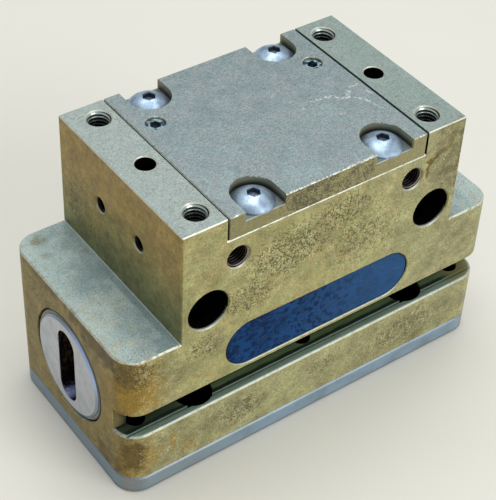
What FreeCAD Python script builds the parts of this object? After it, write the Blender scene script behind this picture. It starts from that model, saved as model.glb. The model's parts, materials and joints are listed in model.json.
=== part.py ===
import FreeCAD, Part
import Sketcher
import os
import re

# Sealed pneumatic parallel gripper, standing on its bottom plate with its mounting side up.
# X runs along the jaws, -Y is the front with the air ports, and Z = 0 is the underside of the plate.

SIZES = {
    # block
    "body_depth": 52.0,
    "base_length": 110.5,
    "base_corner": 6.0,
    "ledge_height": 44.6,
    "upper_length": 80.6,
    "top_height": 76.2,
    "plate_thick": 4.8,
    "edge_break": 0.4,
    "fine_break": 0.25,
    "mouth_break": 0.15,
    "bore_break": 0.3,
    # cylinder cover, its seam, its corner notches and its port plugs
    "cover_length": 56.2,
    "cover_thick": 6.3,
    "cover_gap": 0.45,
    "notch_width": 11.0,
    "notch_depth": 2.7,
    "cover_screw_pitch": 36.8,
    "cover_screw_inset": 4.8,
    "plug_pitch": 45.8,
    "plug_back": 11.4,
    "plug_sink": 0.5,
    "plug_length": 4.6,
    "plug_hex": 2.5,
    "plug_socket": 2.2,
    # fasteners
    "thread_play": 0.1,
    "small_thread": 5.0,
    "button_head": 10.0,
    "button_height": 2.75,
    "button_rim": 0.5,
    "button_hex": 3.0,
    "button_socket": 1.5,
    "cover_screw_reach": 10.0,
    "sunk_head": 9.3,
    "sunk_face": 0.2,
    "sunk_hex": 3.0,
    "sunk_socket": 1.6,
    "plate_screw_length": 12.0,
    "plate_screw_inset": 6.2,
    "plate_hole_depth": 25.0,
    # holes in the block
    "mount_end_inset": 7.3,
    "mount_side_inset": 6.0,
    "mount_thread": 6.0,
    "mount_depth": 15.0,
    "mount_core": 5.1,
    "dowel_size": 5.0,
    "dowel_depth": 10.0,
    "dowel_break": 0.25,
    "access_bore": 10.0,
    "access_top": 36.0,
    "port_pitch": 50.4,
    "port_drop": 12.4,
    "port_thread": 6.0,
    "port_depth": 8.0,
    "port_break": 0.35,
    "air_drill": 2.5,
    "side_bolt_inset": 7.4,
    "side_bolt_rise": 6.8,
    "side_bolt_hole": 6.6,
    "side_bolt_head": 11.0,
    "side_head_depth": 10.0,
    "bracket_thread": 4.0,
    "bracket_pitch": 16.2,
    "bracket_drop": 14.55,
    "bracket_depth": 6.0,
    # sensor groove along the front
    "groove_low": 19.8,
    "groove_mouth": 7.0,
    "groove_depth": 6.1,
    "groove_lip": 1.8,
    "undercut_length": 0.7,
    "undercut": 0.7,
    # name plate
    "label_length": 55.2,
    "label_height": 13.6,
    "label_centre": 34.9,
    "label_recess": 0.8,
    "label_thick": 0.5,
    "label_gap": 0.15,
    "label_break": 0.2,
    # cylinder and piston
    "cavity_length": 46.0,
    "cavity_width": 35.0,
    "cavity_floor": 47.5,
    "piston_thick": 9.4,
    "piston_gap": 0.25,
    "piston_head_gap": 0.5,
    "piston_floor_gap": 0.5,
    "seal_slack": 0.05,
    "piston_seal_low": 1.2,
    "piston_seal_tall": 2.6,
    "piston_seal_deep": 2.4,
    "guide_ring_low": 4.5,
    "guide_ring_tall": 2.0,
    "guide_ring_deep": 1.4,
    "cover_seal_wall": 0.4,
    "cover_seal_wide": 1.4,
    "cover_seal_tall": 1.1,
    "bolt_size": 8.0,
    "bolt_head": 13.0,
    "bolt_head_tall": 5.0,
    "bolt_head_sink": 0.4,
    "bolt_hex": 5.0,
    "bolt_socket": 2.8,
    "bolt_reach": 14.0,
    # rod, wedge and its pocket
    "rod_size": 14.0,
    "rod_bush_size": 18.0,
    "rod_bush_tall": 3.6,
    "rod_seal_tall": 2.5,
    "rod_gap": 0.3,
    "running_gap": 0.03,
    "fit_gap": 0.02,
    "pocket_length": 44.0,
    "pocket_width": 15.0,
    "pocket_top": 40.2,
    "wedge_roof_gap": 1.2,
    "wedge_tall": 20.5,
    "wedge_flank": 10.5,
    "wedge_slope": 0.666667,
    "rail_thick": 4.0,
    "rail_width": 13.0,
    "neck_width": 7.0,
    "rail_gap": 0.2,
    "bottom_seal_wall": 1.5,
    "bottom_seal_wide": 2.0,
    "bottom_seal_tall": 1.2,
    # jaw slides and what guides and seals them
    "guide_height": 23.9,
    "slide_size": 27.0,
    "slide_proud": 0.4,
    "slide_break": 0.5,
    "slide_inner": 0.4,
    "seal_section": 1.4,
    "seal_bore_depth": 15.0,
    "bush_length": 8.2,
    "lip_seal_thick": 2.8,
    "lip_hollow": 0.6,
    "lip_hollow_deep": 1.6,
    "wiper_sink": 0.3,
    "finger_slot_tall": 22.0,
    "finger_slot_wide": 7.4,
    "finger_slot_deep": 8.0,
    "finger_hole_pitch": 12.0,
    "finger_hole_depth": 12.0,
    "magnet_size": 5.0,
    "magnet_thick": 4.0,
    "magnet_sink": 0.3,
    "magnet_place": 28.0,
}

HEX_CORNER = "0.57735"
TURN = {
    "X": FreeCAD.Rotation(FreeCAD.Vector(0, 1, 0), 90),
    "Y": FreeCAD.Rotation(FreeCAD.Vector(1, 0, 0), -90),
    "Z": FreeCAD.Rotation(),
}
UPRIGHT_WEDGE = FreeCAD.Rotation(FreeCAD.Vector(1, 0, 0), 90)
SIDES = (-1, 1)
SIZE_NAME = re.compile(r"[a-z]\w+")

# Places that several pieces share
HALF_DEPTH = "body_depth/2"
HALF_BASE = "base_length/2"
COVER_FLOOR = "(top_height - cover_thick)"
NOTCH_FLOOR = "(top_height - notch_depth)"
SEAL_BORE = "(slide_size/2 + seal_section)"
SEAL_BORE_END = "(base_length/2 - seal_bore_depth)"
LIP_START = f"({SEAL_BORE_END} + bush_length)"
WIPER_START = f"({LIP_START} + lip_seal_thick)"
SLIDE_FACE = "(base_length/2 + slide_proud)"
PISTON_TOP = f"({COVER_FLOOR} - piston_head_gap)"
PISTON_LOW = f"({PISTON_TOP} - piston_thick)"
PISTON_TRAVEL = f"({PISTON_LOW} - cavity_floor - piston_floor_gap)"
WEDGE_TOP = "(pocket_top - wedge_roof_gap)"
WEDGE_LOW = f"({WEDGE_TOP} - wedge_tall)"
ROD_SEAL_LOW = "(cavity_floor - rod_bush_tall - rod_seal_tall)"
PORT_HEIGHT = "(top_height - port_drop)"
MOUNT_X = "(upper_length/2 - mount_end_inset)"
MOUNT_Y = "(body_depth/2 - mount_side_inset)"
SIDE_BOLT_X = "(upper_length/2 - side_bolt_inset)"
SIDE_BOLT_HEIGHT = "ledge_height + side_bolt_rise"
BRACKET_HEIGHT = "top_height - bracket_drop"
GROOVE_TOP = "(groove_low + groove_mouth)"
PLATE_SCREW_PLACES = [(x, y) for y in SIDES for x in (-1, 0, 1)]
CORNERS = [(x, y) for y in SIDES for x in SIDES]

doc = FreeCAD.newDocument("parallel_gripper")
sheet = doc.addObject("Spreadsheet::Sheet", "Sizes")
for row, (alias, size) in enumerate(SIZES.items(), 1):
    sheet.set(f"A{row}", alias)
    sheet.set(f"B{row}", str(size))
    sheet.setAlias(f"B{row}", alias)
doc.recompute()


def formula(text):
    """A formula in size names, with every name made a reference to its cell."""
    return SIZE_NAME.sub(lambda found: "Sizes." + found.group(0), str(text))


def bind(thing, prop, text):
    thing.setExpression(prop, formula(text))


def place(thing, at, turn=TURN["Z"]):
    """Turns a solid and binds where its own origin lies."""
    thing.Placement = FreeCAD.Placement(FreeCAD.Vector(), turn)
    for axis, text in zip("xyz", at):
        bind(thing, ".Placement.Base." + axis, text)
    return thing


def span(side, near, far):
    """A range of places on the positive side, or its mirror image on the negative side."""
    return (near, far) if side > 0 else (f"-({far})", f"-({near})")


def point(axis, along, centre):
    """A place given by its coordinate along one axis and the two others in X, Y, Z order."""
    others = iter(centre)
    return [along if letter == axis else next(others) for letter in "XYZ"]


def box(name, x, y, z):
    solid = doc.addObject("Part::Box", name)
    for prop, (low, high) in zip(("Length", "Width", "Height"), (x, y, z)):
        bind(solid, prop, f"({high}) - ({low})")
    return place(solid, (x[0], y[0], z[0]))


def bar(name, axis, along, centre, radius):
    """A round bar along one axis."""
    solid = doc.addObject("Part::Cylinder", name)
    bind(solid, "Radius", radius)
    bind(solid, "Height", f"({along[1]}) - ({along[0]})")
    return place(solid, point(axis, along[0], centre), TURN[axis])


def cone(name, axis, along, centre, first, last):
    """A cone along one axis, with the radius at each end of its range."""
    solid = doc.addObject("Part::Cone", name)
    bind(solid, "Radius1", first)
    bind(solid, "Radius2", last)
    bind(solid, "Height", f"({along[1]}) - ({along[0]})")
    return place(solid, point(axis, along[0], centre), TURN[axis])


def hexagon(name, axis, along, centre, across):
    """A hexagonal bar, given the distance across its flats."""
    solid = doc.addObject("Part::Prism", name)
    solid.Polygon = 6
    bind(solid, "Circumradius", f"{across}*{HEX_CORNER}")
    bind(solid, "Height", f"({along[1]}) - ({along[0]})")
    return place(solid, point(axis, along[0], centre), TURN[axis])


def fuse(name, solids):
    joined = doc.addObject("Part::MultiFuse", name)
    joined.Shapes = solids
    joined.Refine = True
    return joined


def cut(name, base, tools):
    tool = tools[0] if len(tools) == 1 else fuse(name + "_tools", tools)
    rest = doc.addObject("Part::Cut", name)
    rest.Base = base
    rest.Tool = tool
    rest.Refine = True
    return rest


def group(name, solids):
    """Identical fasteners kept together as separate solids."""
    pieces = doc.addObject("Part::Compound", name)
    pieces.Links = solids
    return pieces


def mirrored(name, source):
    """The left-hand twin of a right-hand piece."""
    twin = doc.addObject("Part::Mirroring", name)
    twin.Source = source
    twin.Normal = FreeCAD.Vector(1, 0, 0)
    return twin


def tube(name, axis, along, centre, outer, inner):
    core = bar(name + "_inner", axis, along, centre, inner)
    return cut(name, bar(name + "_outer", axis, along, centre, outer), [core])


def stadium(name, axis, long_axis, along, centre, length, width):
    """An obround bar: a box with a round bar at each end of its long direction."""
    middle = point(axis, "0", centre)
    straight = f"(({length}) - ({width}))/2"
    ranges = []
    for letter, place_text in zip("XYZ", middle):
        half = straight if letter == long_axis else f"({width})/2"
        ranges.append(along if letter == axis else (f"{place_text} - {half}", f"{place_text} + {half}"))
    pieces = [box(name + "_middle", *ranges)]
    for side in SIDES:
        end = list(middle)
        end["XYZ".index(long_axis)] += f" + {side}*{straight}"
        del end["XYZ".index(axis)]
        pieces.append(bar(f"{name}_end", axis, along, end, f"({width})/2"))
    return fuse(name, pieces)


def stadium_ring(name, along, outer_gap, inner_gap):
    """A ring round the cylinder cavity, between two offsets from the cavity's wall."""
    rings = []
    for gap in (outer_gap, inner_gap):
        length = f"cavity_length + 2*({gap})"
        width = f"cavity_width + 2*({gap})"
        rings.append(stadium(name + "_edge", "Z", "X", along, ("0", "0"), length, width))
    return cut(name, rings[0], [rings[1]])


def hole(name, axis, mouth, inward, depth, centre, radius, mouth_chamfer):
    """A blind hole with a chamfered mouth, as the solids that cut it."""
    floor = f"{mouth} + {inward}*({depth})"
    chamfer_end = f"{mouth} + {inward}*{mouth_chamfer}"
    wide = f"{radius} + {mouth_chamfer}"
    if inward > 0:
        funnel = cone(name + "_mouth", axis, (mouth, chamfer_end), centre, wide, radius)
        return [bar(name, axis, (mouth, floor), centre, radius), funnel]
    funnel = cone(name + "_mouth", axis, (chamfer_end, mouth), centre, radius, wide)
    return [bar(name, axis, (floor, mouth), centre, radius), funnel]


def plate_body(name, length, width, low, high, corner, broken, break_size="edge_break"):
    """A rectangular block with rounded or chamfered edges, as a sketch, a pad and dress-ups."""
    body = doc.addObject("PartDesign::Body", name)
    sketch = body.newObject("Sketcher::SketchObject", name + "_outline")
    plane = [feature for feature in body.Origin.OriginFeatures if feature.Role == "XY_Plane"][0]
    sketch.AttachmentSupport = [(plane, "")]
    sketch.MapMode = "FlatFace"
    rectangle(sketch, length, width)
    pad = body.newObject("PartDesign::Pad", name + "_pad")
    pad.Profile = sketch
    bind(pad, "Length", f"({high}) - ({low})")
    doc.recompute()
    tip = pad
    if corner:
        tip = body.newObject("PartDesign::Fillet", name + "_corners")
        tip.Base = (pad, edges_of(pad.Shape, uprights=True, rims=()))
        bind(tip, "Radius", corner)
        doc.recompute()
    if broken:
        chamfer = body.newObject("PartDesign::Chamfer", name + "_edges")
        chamfer.Base = (tip, edges_of(tip.Shape, uprights=not corner, rims=broken))
        bind(chamfer, "Size", break_size)
        doc.recompute()
    return place(body, ("0", "0", low))


def rectangle(sketch, length, width):
    """A rectangle about the sketch's origin, with its two sizes bound to the sheet."""
    guess = [FreeCAD.Vector(x, y, 0) for x, y in ((-9, -9), (9, -9), (9, 9), (-9, 9))]
    for first, second in zip(guess, guess[1:] + guess[:1]):
        sketch.addGeometry(Part.LineSegment(first, second), False)
    for line in range(4):
        sketch.addConstraint(Sketcher.Constraint("Coincident", line, 2, (line + 1) % 4, 1))
        sketch.addConstraint(Sketcher.Constraint(("Horizontal", "Vertical")[line % 2], line))
    sketch.addConstraint(Sketcher.Constraint("Symmetric", 0, 1, 1, 2, -1, 1))
    for index, kind, text in ((0, "DistanceX", length), (1, "DistanceY", width)):
        number = sketch.addConstraint(Sketcher.Constraint(kind, index, 1, index, 2, 18.0))
        sketch.renameConstraint(number, kind + "_size")
        bind(sketch, f"Constraints.{kind}_size", text)


def edges_of(shape, uprights, rims):
    """Names of a block's upright edges and of the edges in its bottom or top rim."""
    levels = {"bottom": shape.BoundBox.ZMin, "top": shape.BoundBox.ZMax}
    wanted = [levels[rim] for rim in rims]
    names = []
    for number, edge in enumerate(shape.Edges, 1):
        bounds = edge.BoundBox
        level = bounds.ZLength < 1e-6
        if (uprights and not level) or (level and any(abs(bounds.ZMin - z) < 1e-6 for z in wanted)):
            names.append(f"Edge{number}")
    return names


def flank(height):
    """Distance of the wedge's sloping flank from the middle, at a height and in the rest position."""
    return f"(wedge_flank + ({height} - guide_height)*wedge_slope)"


def taper(name, along, first, last, turn=TURN["Z"]):
    """A bar along its own Y whose X and Z limits change from its first end to its last."""
    solid = doc.addObject("Part::Wedge", name)
    limits = dict(zip(("Ymin", "Ymax"), along))
    limits.update(zip(("Xmin", "Xmax", "Zmin", "Zmax"), first))
    limits.update(zip(("X2min", "X2max", "Z2min", "Z2max"), last))
    for prop, text in limits.items():
        bind(solid, prop, text)
    return place(solid, ("0", "0", "0"), turn)


def ramp(name, low, high, half_width, near, far):
    """A bar along the wedge's slope, between two distances from the middle at each end height."""
    across = (f"-({half_width})", half_width)
    ends = [(near(height), far(height)) + across for height in (low, high)]
    return taper(name, (low, high), *ends, UPRIGHT_WEDGE)


def housing():
    top_mouth = "top_height"
    outline = ("base_length", "body_depth")
    both_rims = ("base_corner", ("bottom", "top"))
    lower = plate_body("lower_block", *outline, "plate_thick", "groove_low", *both_rims)
    ledge = plate_body("ledge_block", *outline, GROOVE_TOP, "ledge_height", *both_rims)
    band = ("groove_low - edge_break", f"{GROOVE_TOP} + edge_break")
    front = (f"-{HALF_DEPTH}", f"groove_depth - {HALF_DEPTH}")
    core = cut("groove_core", plate_body("groove_band", *outline, *band, "base_corner", ()),
               [box("groove_mouth_cut", (f"-{HALF_BASE}", HALF_BASE), front, band)])
    upper = plate_body("upper_block", "upper_length", "body_depth", "ledge_height - edge_break", "top_height",
                       None, ("top",), "fine_break")
    depth = (f"-{HALF_DEPTH}", HALF_DEPTH)
    tools = recess_tools(depth) + cylinder_tools() + guide_tools()
    for x, y in CORNERS:
        mount = (f"{x}*{MOUNT_X}", f"{y}*{MOUNT_Y}")
        tools += hole("mount_thread_hole", "Z", top_mouth, -1, "mount_depth", mount, "mount_thread/2",
                      "bore_break")
        tools.append(bar("mount_core_hole", "Z", ("access_top", "top_height"), mount, "mount_core/2"))
        tools.append(bar("access_hole", "Z", ("plate_thick", "access_top"), mount, "access_bore/2"))
        cover_screw = (f"{x}*cover_screw_pitch/2", f"{y}*(body_depth/2 - cover_screw_inset)")
        reach = f"{NOTCH_FLOOR} - cover_screw_reach - small_thread/2"
        tools.append(bar("cover_screw_hole", "Z", (reach, COVER_FLOOR), cover_screw, "small_thread/2"))
        side_bolt = (f"{x}*{SIDE_BOLT_X}", SIDE_BOLT_HEIGHT)
        tools += hole("side_bolt_counterbore", "Y", f"{y}*body_depth/2", -y, "side_head_depth", side_bolt,
                      "side_bolt_head/2", "bore_break")
        bracket = (f"{y}*bracket_pitch/2", BRACKET_HEIGHT)
        tools += hole("bracket_hole", "X", f"{x}*upper_length/2", -x, "bracket_depth", bracket,
                      "bracket_thread/2", "bore_break")
    for x in SIDES:
        dowel = (f"{x}*{MOUNT_X}", "0")
        tools += hole("dowel_hole", "Z", top_mouth, -1, "dowel_depth", dowel, "dowel_size/2", "dowel_break")
        side_bolt = (f"{x}*{SIDE_BOLT_X}", SIDE_BOLT_HEIGHT)
        tools.append(bar("side_bolt_passage", "Y", depth, side_bolt, "side_bolt_hole/2"))
    for x, y in PLATE_SCREW_PLACES:
        rise = ("plate_thick", "plate_thick + plate_hole_depth")
        tools.append(bar("plate_screw_hole", "Z", rise, plate_screw_place(x, y), "small_thread/2"))
    tools += label_tools() + [undercut_tool()]
    return cut("housing", fuse("block", [lower, core, ledge, upper]), tools)


def recess_tools(depth):
    """The cover's seat, with the front and back edges of its floor chamfered."""
    recess = ("-(cover_length/2 + cover_gap)", "cover_length/2 + cover_gap")
    tools = [box("cover_recess", recess, depth, (COVER_FLOOR, "top_height"))]
    inner = (*recess, COVER_FLOOR, "top_height")
    outer = (*recess, f"{COVER_FLOOR} - edge_break", "top_height")
    for y in SIDES:
        along = span(y, f"{HALF_DEPTH} - edge_break", HALF_DEPTH)
        tools.append(taper("recess_edge", along, *(inner, outer)[::y]))
    return tools


def cylinder_tools():
    """The oval cylinder, its seal groove, the rod's passage and the air passages."""
    seal = (f"{COVER_FLOOR} - cover_seal_tall", COVER_FLOOR)
    middle = ("0", "0")
    height = ("cavity_floor", COVER_FLOOR)
    tools = [stadium("cavity", "Z", "X", height, middle, "cavity_length", "cavity_width")]
    outer_edge = "cover_seal_wall + cover_seal_wide"
    tools.append(stadium_ring("cover_seal_groove", seal, outer_edge, "cover_seal_wall"))
    tools.append(bar("rod_bush_seat", "Z", (ROD_SEAL_LOW, "cavity_floor"), middle, "rod_bush_size/2"))
    tools.append(bar("rod_passage", "Z", ("pocket_top", "cavity_floor"), middle, "rod_size/2 + rod_gap"))
    feeds = {-1: f"{COVER_FLOOR} - cover_seal_tall - air_drill", 1: "cavity_floor + air_drill/2"}
    for x in SIDES:
        port = (f"{x}*port_pitch/2", PORT_HEIGHT)
        front = f"-{HALF_DEPTH}"
        tools += hole("air_port", "Y", front, 1, "port_depth", port, "port_thread/2", "port_break")
        tools.append(bar("port_drill", "Y", (front, "plug_back + air_drill/2"), port, "air_drill/2"))
        riser = (f"{x}*plug_pitch/2", "plug_back")
        foot = f"{PORT_HEIGHT} - air_drill/2" if x < 0 else f"{feeds[x]} - air_drill/2"
        tools.append(bar("air_riser", "Z", (foot, COVER_FLOOR), riser, "air_drill/2"))
        feed = span(x, "plug_pitch/2 - cavity_width/4", "plug_pitch/2")
        tools.append(bar("air_feed", "X", feed, ("plug_back", feeds[x]), "air_drill/2"))
    return tools


def guide_tools():
    """The guide bore for both slides, its wider ends and the pocket that the wedge runs in."""
    axis = ("0", "guide_height")
    through = (f"-{HALF_BASE}", HALF_BASE)
    tools = [bar("guide_bore", "X", through, axis, "slide_size/2 + running_gap")]
    for x in SIDES:
        tools += hole("seal_bore_cut", "X", f"{x}*base_length/2", -x, "seal_bore_depth", axis, SEAL_BORE,
                      "mouth_break")
    along = ("-pocket_length/2", "pocket_length/2")
    across = ("-pocket_width/2", "pocket_width/2")
    tools.append(box("wedge_pocket", along, across, ("plate_thick", "pocket_top")))
    return tools


def undercut_tool():
    """The wider part of the sensor groove, behind its lips."""
    length = (f"-{HALF_BASE}", HALF_BASE)
    height = ("groove_low - undercut", f"{GROOVE_TOP} + undercut")
    lip = f"groove_lip - {HALF_DEPTH}"
    return box("groove_undercut", length, (lip, f"{lip} + undercut_length"), height)


def label_tools():
    """The recess of the name plate, with a chamfered rim."""
    front = f"-{HALF_DEPTH}"
    floor = (front, f"{front} + label_recess")
    rim = (front, f"{front} + label_break")
    straight = "(label_length - label_height)/2"
    tools = [stadium("label_recess_cut", "Y", "X", floor, ("0", "label_centre"), "label_length",
                     "label_height")]
    ends = []
    for half in ("label_height/2 + label_break", "label_height/2"):
        ends.append((f"-{straight}", straight, f"label_centre - ({half})", f"label_centre + {half}"))
    tools.append(taper("label_rim", rim, *ends))
    for x in SIDES:
        centre = (f"{x}*{straight}", "label_centre")
        wide = "label_height/2 + label_break"
        tools.append(cone("label_rim_end", "Y", rim, centre, wide, "label_height/2"))
    return tools


def plate_screw_place(x, y):
    return (f"{x}*(base_length/2 - plate_screw_inset)", f"{y}*(body_depth/2 - plate_screw_inset)")


def cylinder_cover():
    plate = plate_body("cover_plate", "cover_length", "body_depth", COVER_FLOOR, "top_height", None, ("top",),
                       "fine_break")
    tools = []
    for x, y in CORNERS:
        middle = f"{x}*cover_screw_pitch/2"
        inner = "body_depth/2 - cover_screw_inset"
        depth = (NOTCH_FLOOR, "top_height")
        width = (f"{middle} - notch_width/2", f"{middle} + notch_width/2")
        tools.append(box("notch", width, span(y, inner, HALF_DEPTH), depth))
        at = (middle, f"{y}*({inner})")
        tools.append(bar("notch_end", "Z", depth, at, "notch_width/2"))
        tools.append(bar("notch_hole", "Z", (COVER_FLOOR, NOTCH_FLOOR), at, "small_thread/2 + thread_play"))
    for x in SIDES:
        plug = (f"{x}*plug_pitch/2", "plug_back")
        tools += hole("plug_hole", "Z", "top_height", -1, "cover_thick", plug, "small_thread/2",
                      "mouth_break")
    return cut("cylinder_cover", plate, tools)


def cover_screws():
    """Button heads: a low cylinder under a dome, with a hexagon socket."""
    rise = "(button_height - button_rim)"
    dome_radius = f"(((button_head/2)*(button_head/2) + {rise}*{rise})/(2*{rise}))"
    crown = f"{NOTCH_FLOOR} + button_height"
    screws = []
    for x, y in CORNERS:
        at = (f"{x}*cover_screw_pitch/2", f"{y}*(body_depth/2 - cover_screw_inset)")
        dome = doc.addObject("Part::Sphere", "button_dome")
        bind(dome, "Radius", dome_radius)
        place(dome, (at[0], at[1], f"{crown} - {dome_radius}"))
        head = doc.addObject("Part::Common", "button")
        head.Base = bar("button_blank", "Z", (NOTCH_FLOOR, crown), at, "button_head/2")
        head.Tool = dome
        shank = (f"{NOTCH_FLOOR} - cover_screw_reach", NOTCH_FLOOR)
        stem = bar("button_shank", "Z", shank, at, "small_thread/2 - thread_play")
        socket = hexagon("button_socket_cut", "Z", (f"{crown} - button_socket", crown), at, "button_hex")
        screws.append(cut("cover_screw", fuse("button_screw", [head, stem]), [socket]))
    return group("cover_screws", screws)


def port_plugs():
    plugs = []
    top = "(top_height - plug_sink)"
    for x in SIDES:
        at = (f"{x}*plug_pitch/2", "plug_back")
        blank = bar("plug_blank", "Z", (f"{top} - plug_length", top), at, "small_thread/2 - thread_play")
        socket = hexagon("plug_socket_cut", "Z", (f"{top} - plug_socket", top), at, "plug_hex")
        plugs.append(cut("port_plug", blank, [socket]))
    return group("port_plugs", plugs)


def bottom_plate():
    plate = plate_body("plate_blank", "base_length", "body_depth", "0", "plate_thick", "base_corner",
                       ("bottom", "top"))
    play = "small_thread/2 + thread_play"
    mouth = "sunk_head/2 + thread_play + sunk_face"
    tools = []
    for x, y in PLATE_SCREW_PLACES:
        at = plate_screw_place(x, y)
        tools.append(bar("plate_hole", "Z", ("0", "plate_thick"), at, play))
        tools.append(cone("plate_countersink", "Z", ("0", f"{mouth} - ({play})"), at, mouth, play))
    for x, y in CORNERS:
        at = (f"{x}*{MOUNT_X}", f"{y}*{MOUNT_Y}")
        tools.append(bar("plate_access_hole", "Z", ("0", "plate_thick"), at, "access_bore/2"))
    tools.append(bottom_seal_ring("bottom_seal_groove"))
    return cut("bottom_plate", plate, tools)


def bottom_seal_ring(name):
    """A rectangular ring round the wedge pocket, let into the plate's top."""
    rise = ("plate_thick - bottom_seal_tall", "plate_thick")
    blocks = []
    for gap in ("bottom_seal_wall + bottom_seal_wide", "bottom_seal_wall"):
        along = (f"-(pocket_length/2 + {gap})", f"pocket_length/2 + {gap}")
        across = (f"-(pocket_width/2 + {gap})", f"pocket_width/2 + {gap}")
        blocks.append(box(name + "_edge", along, across, rise))
    return cut(name, blocks[0], [blocks[1]])


def bottom_plate_screws():
    screws = []
    shank = "small_thread/2 - thread_play"
    taper = f"(sunk_head/2 - ({shank}))"
    for x, y in PLATE_SCREW_PLACES:
        at = plate_screw_place(x, y)
        head = cone("sunk_cone", "Z", ("sunk_face", f"sunk_face + {taper}"), at, "sunk_head/2", shank)
        stem = bar("sunk_shank", "Z", (f"sunk_face + {taper}/2", "plate_screw_length"), at, shank)
        socket = hexagon("sunk_socket_cut", "Z", ("sunk_face", "sunk_face + sunk_socket"), at, "sunk_hex")
        screws.append(cut("plate_screw", fuse("sunk_screw", [head, stem]), [socket]))
    return group("bottom_plate_screws", screws)


def piston_groove(name, low, tall, deep, slack):
    """A ring in the piston's rim, from the groove's floor out to the cylinder wall less some slack."""
    along = (f"{PISTON_LOW} + {low}", f"{PISTON_LOW} + {low} + {tall}")
    return stadium_ring(name, along, f"-({slack})", f"-(piston_gap + {deep})")


def piston():
    along = (PISTON_LOW, PISTON_TOP)
    size = ("cavity_length - 2*piston_gap", "cavity_width - 2*piston_gap")
    blank = stadium("piston_blank", "Z", "X", along, ("0", "0"), *size)
    head_seat = f"{PISTON_TOP} - bolt_head_sink - bolt_head_tall"
    tools = [
        piston_groove("seal_groove", "piston_seal_low", "piston_seal_tall", "piston_seal_deep", "0"),
        piston_groove("ring_groove", "guide_ring_low", "guide_ring_tall", "guide_ring_deep", "0"),
        bar("bolt_passage", "Z", along, ("0", "0"), "bolt_size/2 + rod_gap"),
        bar("bolt_counterbore", "Z", (head_seat, PISTON_TOP), ("0", "0"), "bolt_head/2 + rod_gap"),
    ]
    return cut("piston", blank, tools)


def piston_bolt():
    seat = f"({PISTON_TOP} - bolt_head_sink - bolt_head_tall)"
    top = f"({seat} + bolt_head_tall)"
    at = ("0", "0")
    head = bar("bolt_head_blank", "Z", (seat, top), at, "bolt_head/2")
    stem = bar("bolt_shank", "Z", (f"{PISTON_LOW} - bolt_reach", seat), at, "bolt_size/2 - thread_play")
    socket = hexagon("bolt_socket_cut", "Z", (f"{top} - bolt_socket", top), at, "bolt_hex")
    return cut("piston_bolt", fuse("bolt_blank", [head, stem]), [socket])


def wedge_rod():
    """A round rod on a web, with a sloping T rail on each flank of the web."""
    def rail_inner(height):
        return f"{flank(height)} - rail_thick"

    def web_edge(height):
        return f"{flank(height)} - rail_thick/2"

    right = ramp("right_rail", WEDGE_LOW, WEDGE_TOP, "rail_width/2", rail_inner, flank)
    left = mirrored("left_rail", right)
    web = ramp("web", WEDGE_LOW, WEDGE_TOP, "neck_width/2", lambda height: f"-({web_edge(height)})", web_edge)
    rod = bar("rod", "Z", (f"{WEDGE_TOP} - edge_break", PISTON_LOW), ("0", "0"), "rod_size/2")
    depth = (f"{PISTON_LOW} - bolt_reach - bolt_size/4", PISTON_LOW)
    thread = bar("rod_thread", "Z", depth, ("0", "0"), "bolt_size/2")
    return cut("wedge_rod", fuse("wedge_blank", [right, left, web, rod]), [thread])


def rod_bush():
    along = ("cavity_floor - rod_bush_tall", "cavity_floor")
    return tube("rod_bush", "Z", along, ("0", "0"), "rod_bush_size/2 - fit_gap", "rod_size/2 + running_gap")


def rod_seal():
    along = (ROD_SEAL_LOW, "cavity_floor - rod_bush_tall")
    return tube("rod_seal", "Z", along, ("0", "0"), "rod_bush_size/2 - fit_gap", "rod_size/2 + seal_slack")


def right_jaw_slide():
    axis = ("0", "guide_height")
    chamfer = (f"{SLIDE_FACE} - slide_break", SLIDE_FACE)
    blank = fuse("slide_blank", [
        bar("slide_bar", "X", ("slide_inner", f"{SLIDE_FACE} - slide_break"), axis, "slide_size/2"),
        cone("slide_chamfer", "X", chamfer, axis, "slide_size/2", "slide_size/2 - slide_break"),
    ])
    low = "(guide_height - slide_size/2 - rail_thick)"
    high = "(guide_height + slide_size/2 + rail_thick)"
    floor = f"({SLIDE_FACE} - finger_slot_deep)"
    tools = [
        ramp("rail_slot", low, high, "rail_width/2 + rail_gap",
             lambda height: f"{flank(height)} - rail_thick - rail_gap",
             lambda height: f"{flank(height)} + rail_gap"),
        ramp("neck_slot", low, high, "neck_width/2 + rail_gap",
             lambda height: "-slide_size/2", lambda height: f"{flank(height)} - rail_thick/2"),
        bar("rod_relief", "Z", (f"{WEDGE_TOP} - {PISTON_TRAVEL} - rod_gap - edge_break", high), ("0", "0"),
            "rod_size/2 + rod_gap"),
        stadium("finger_slot", "X", "Z", (floor, SLIDE_FACE), axis, "finger_slot_tall", "finger_slot_wide"),
        magnet_bar("magnet_pocket", "slide_size/2", "magnet_size/2"),
    ]
    for side in SIDES:
        thread = ("0", f"guide_height + {side}*finger_hole_pitch/2")
        tools += hole("finger_thread", "X", floor, -1, "finger_hole_depth", thread, "small_thread/2",
                      "mouth_break")
    return cut("right_jaw_slide", blank, tools)


def magnet_bar(name, reach, radius):
    """A round bar across the slide's front side, at the bottom of the magnet's pocket."""
    inner = "(slide_size/2 - magnet_sink - magnet_thick)"
    return bar(name, "Y", (f"-({reach})", f"-{inner}"), ("magnet_place", "guide_height"), radius)


def right_lip_seal():
    """A ring with a hollow towards the outside, which leaves a lip on the slide."""
    axis = ("0", "guide_height")
    inner = "slide_size/2 + seal_slack"
    outer = f"{SEAL_BORE} - fit_gap"
    ring = tube("lip_ring", "X", (LIP_START, WIPER_START), axis, outer, inner)
    hollow = tube("lip_groove", "X", (f"{WIPER_START} - lip_hollow_deep", WIPER_START), axis,
                  f"({outer} + {inner} + lip_hollow)/2", f"({outer} + {inner} - lip_hollow)/2")
    return cut("right_lip_seal", ring, [hollow])


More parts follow.
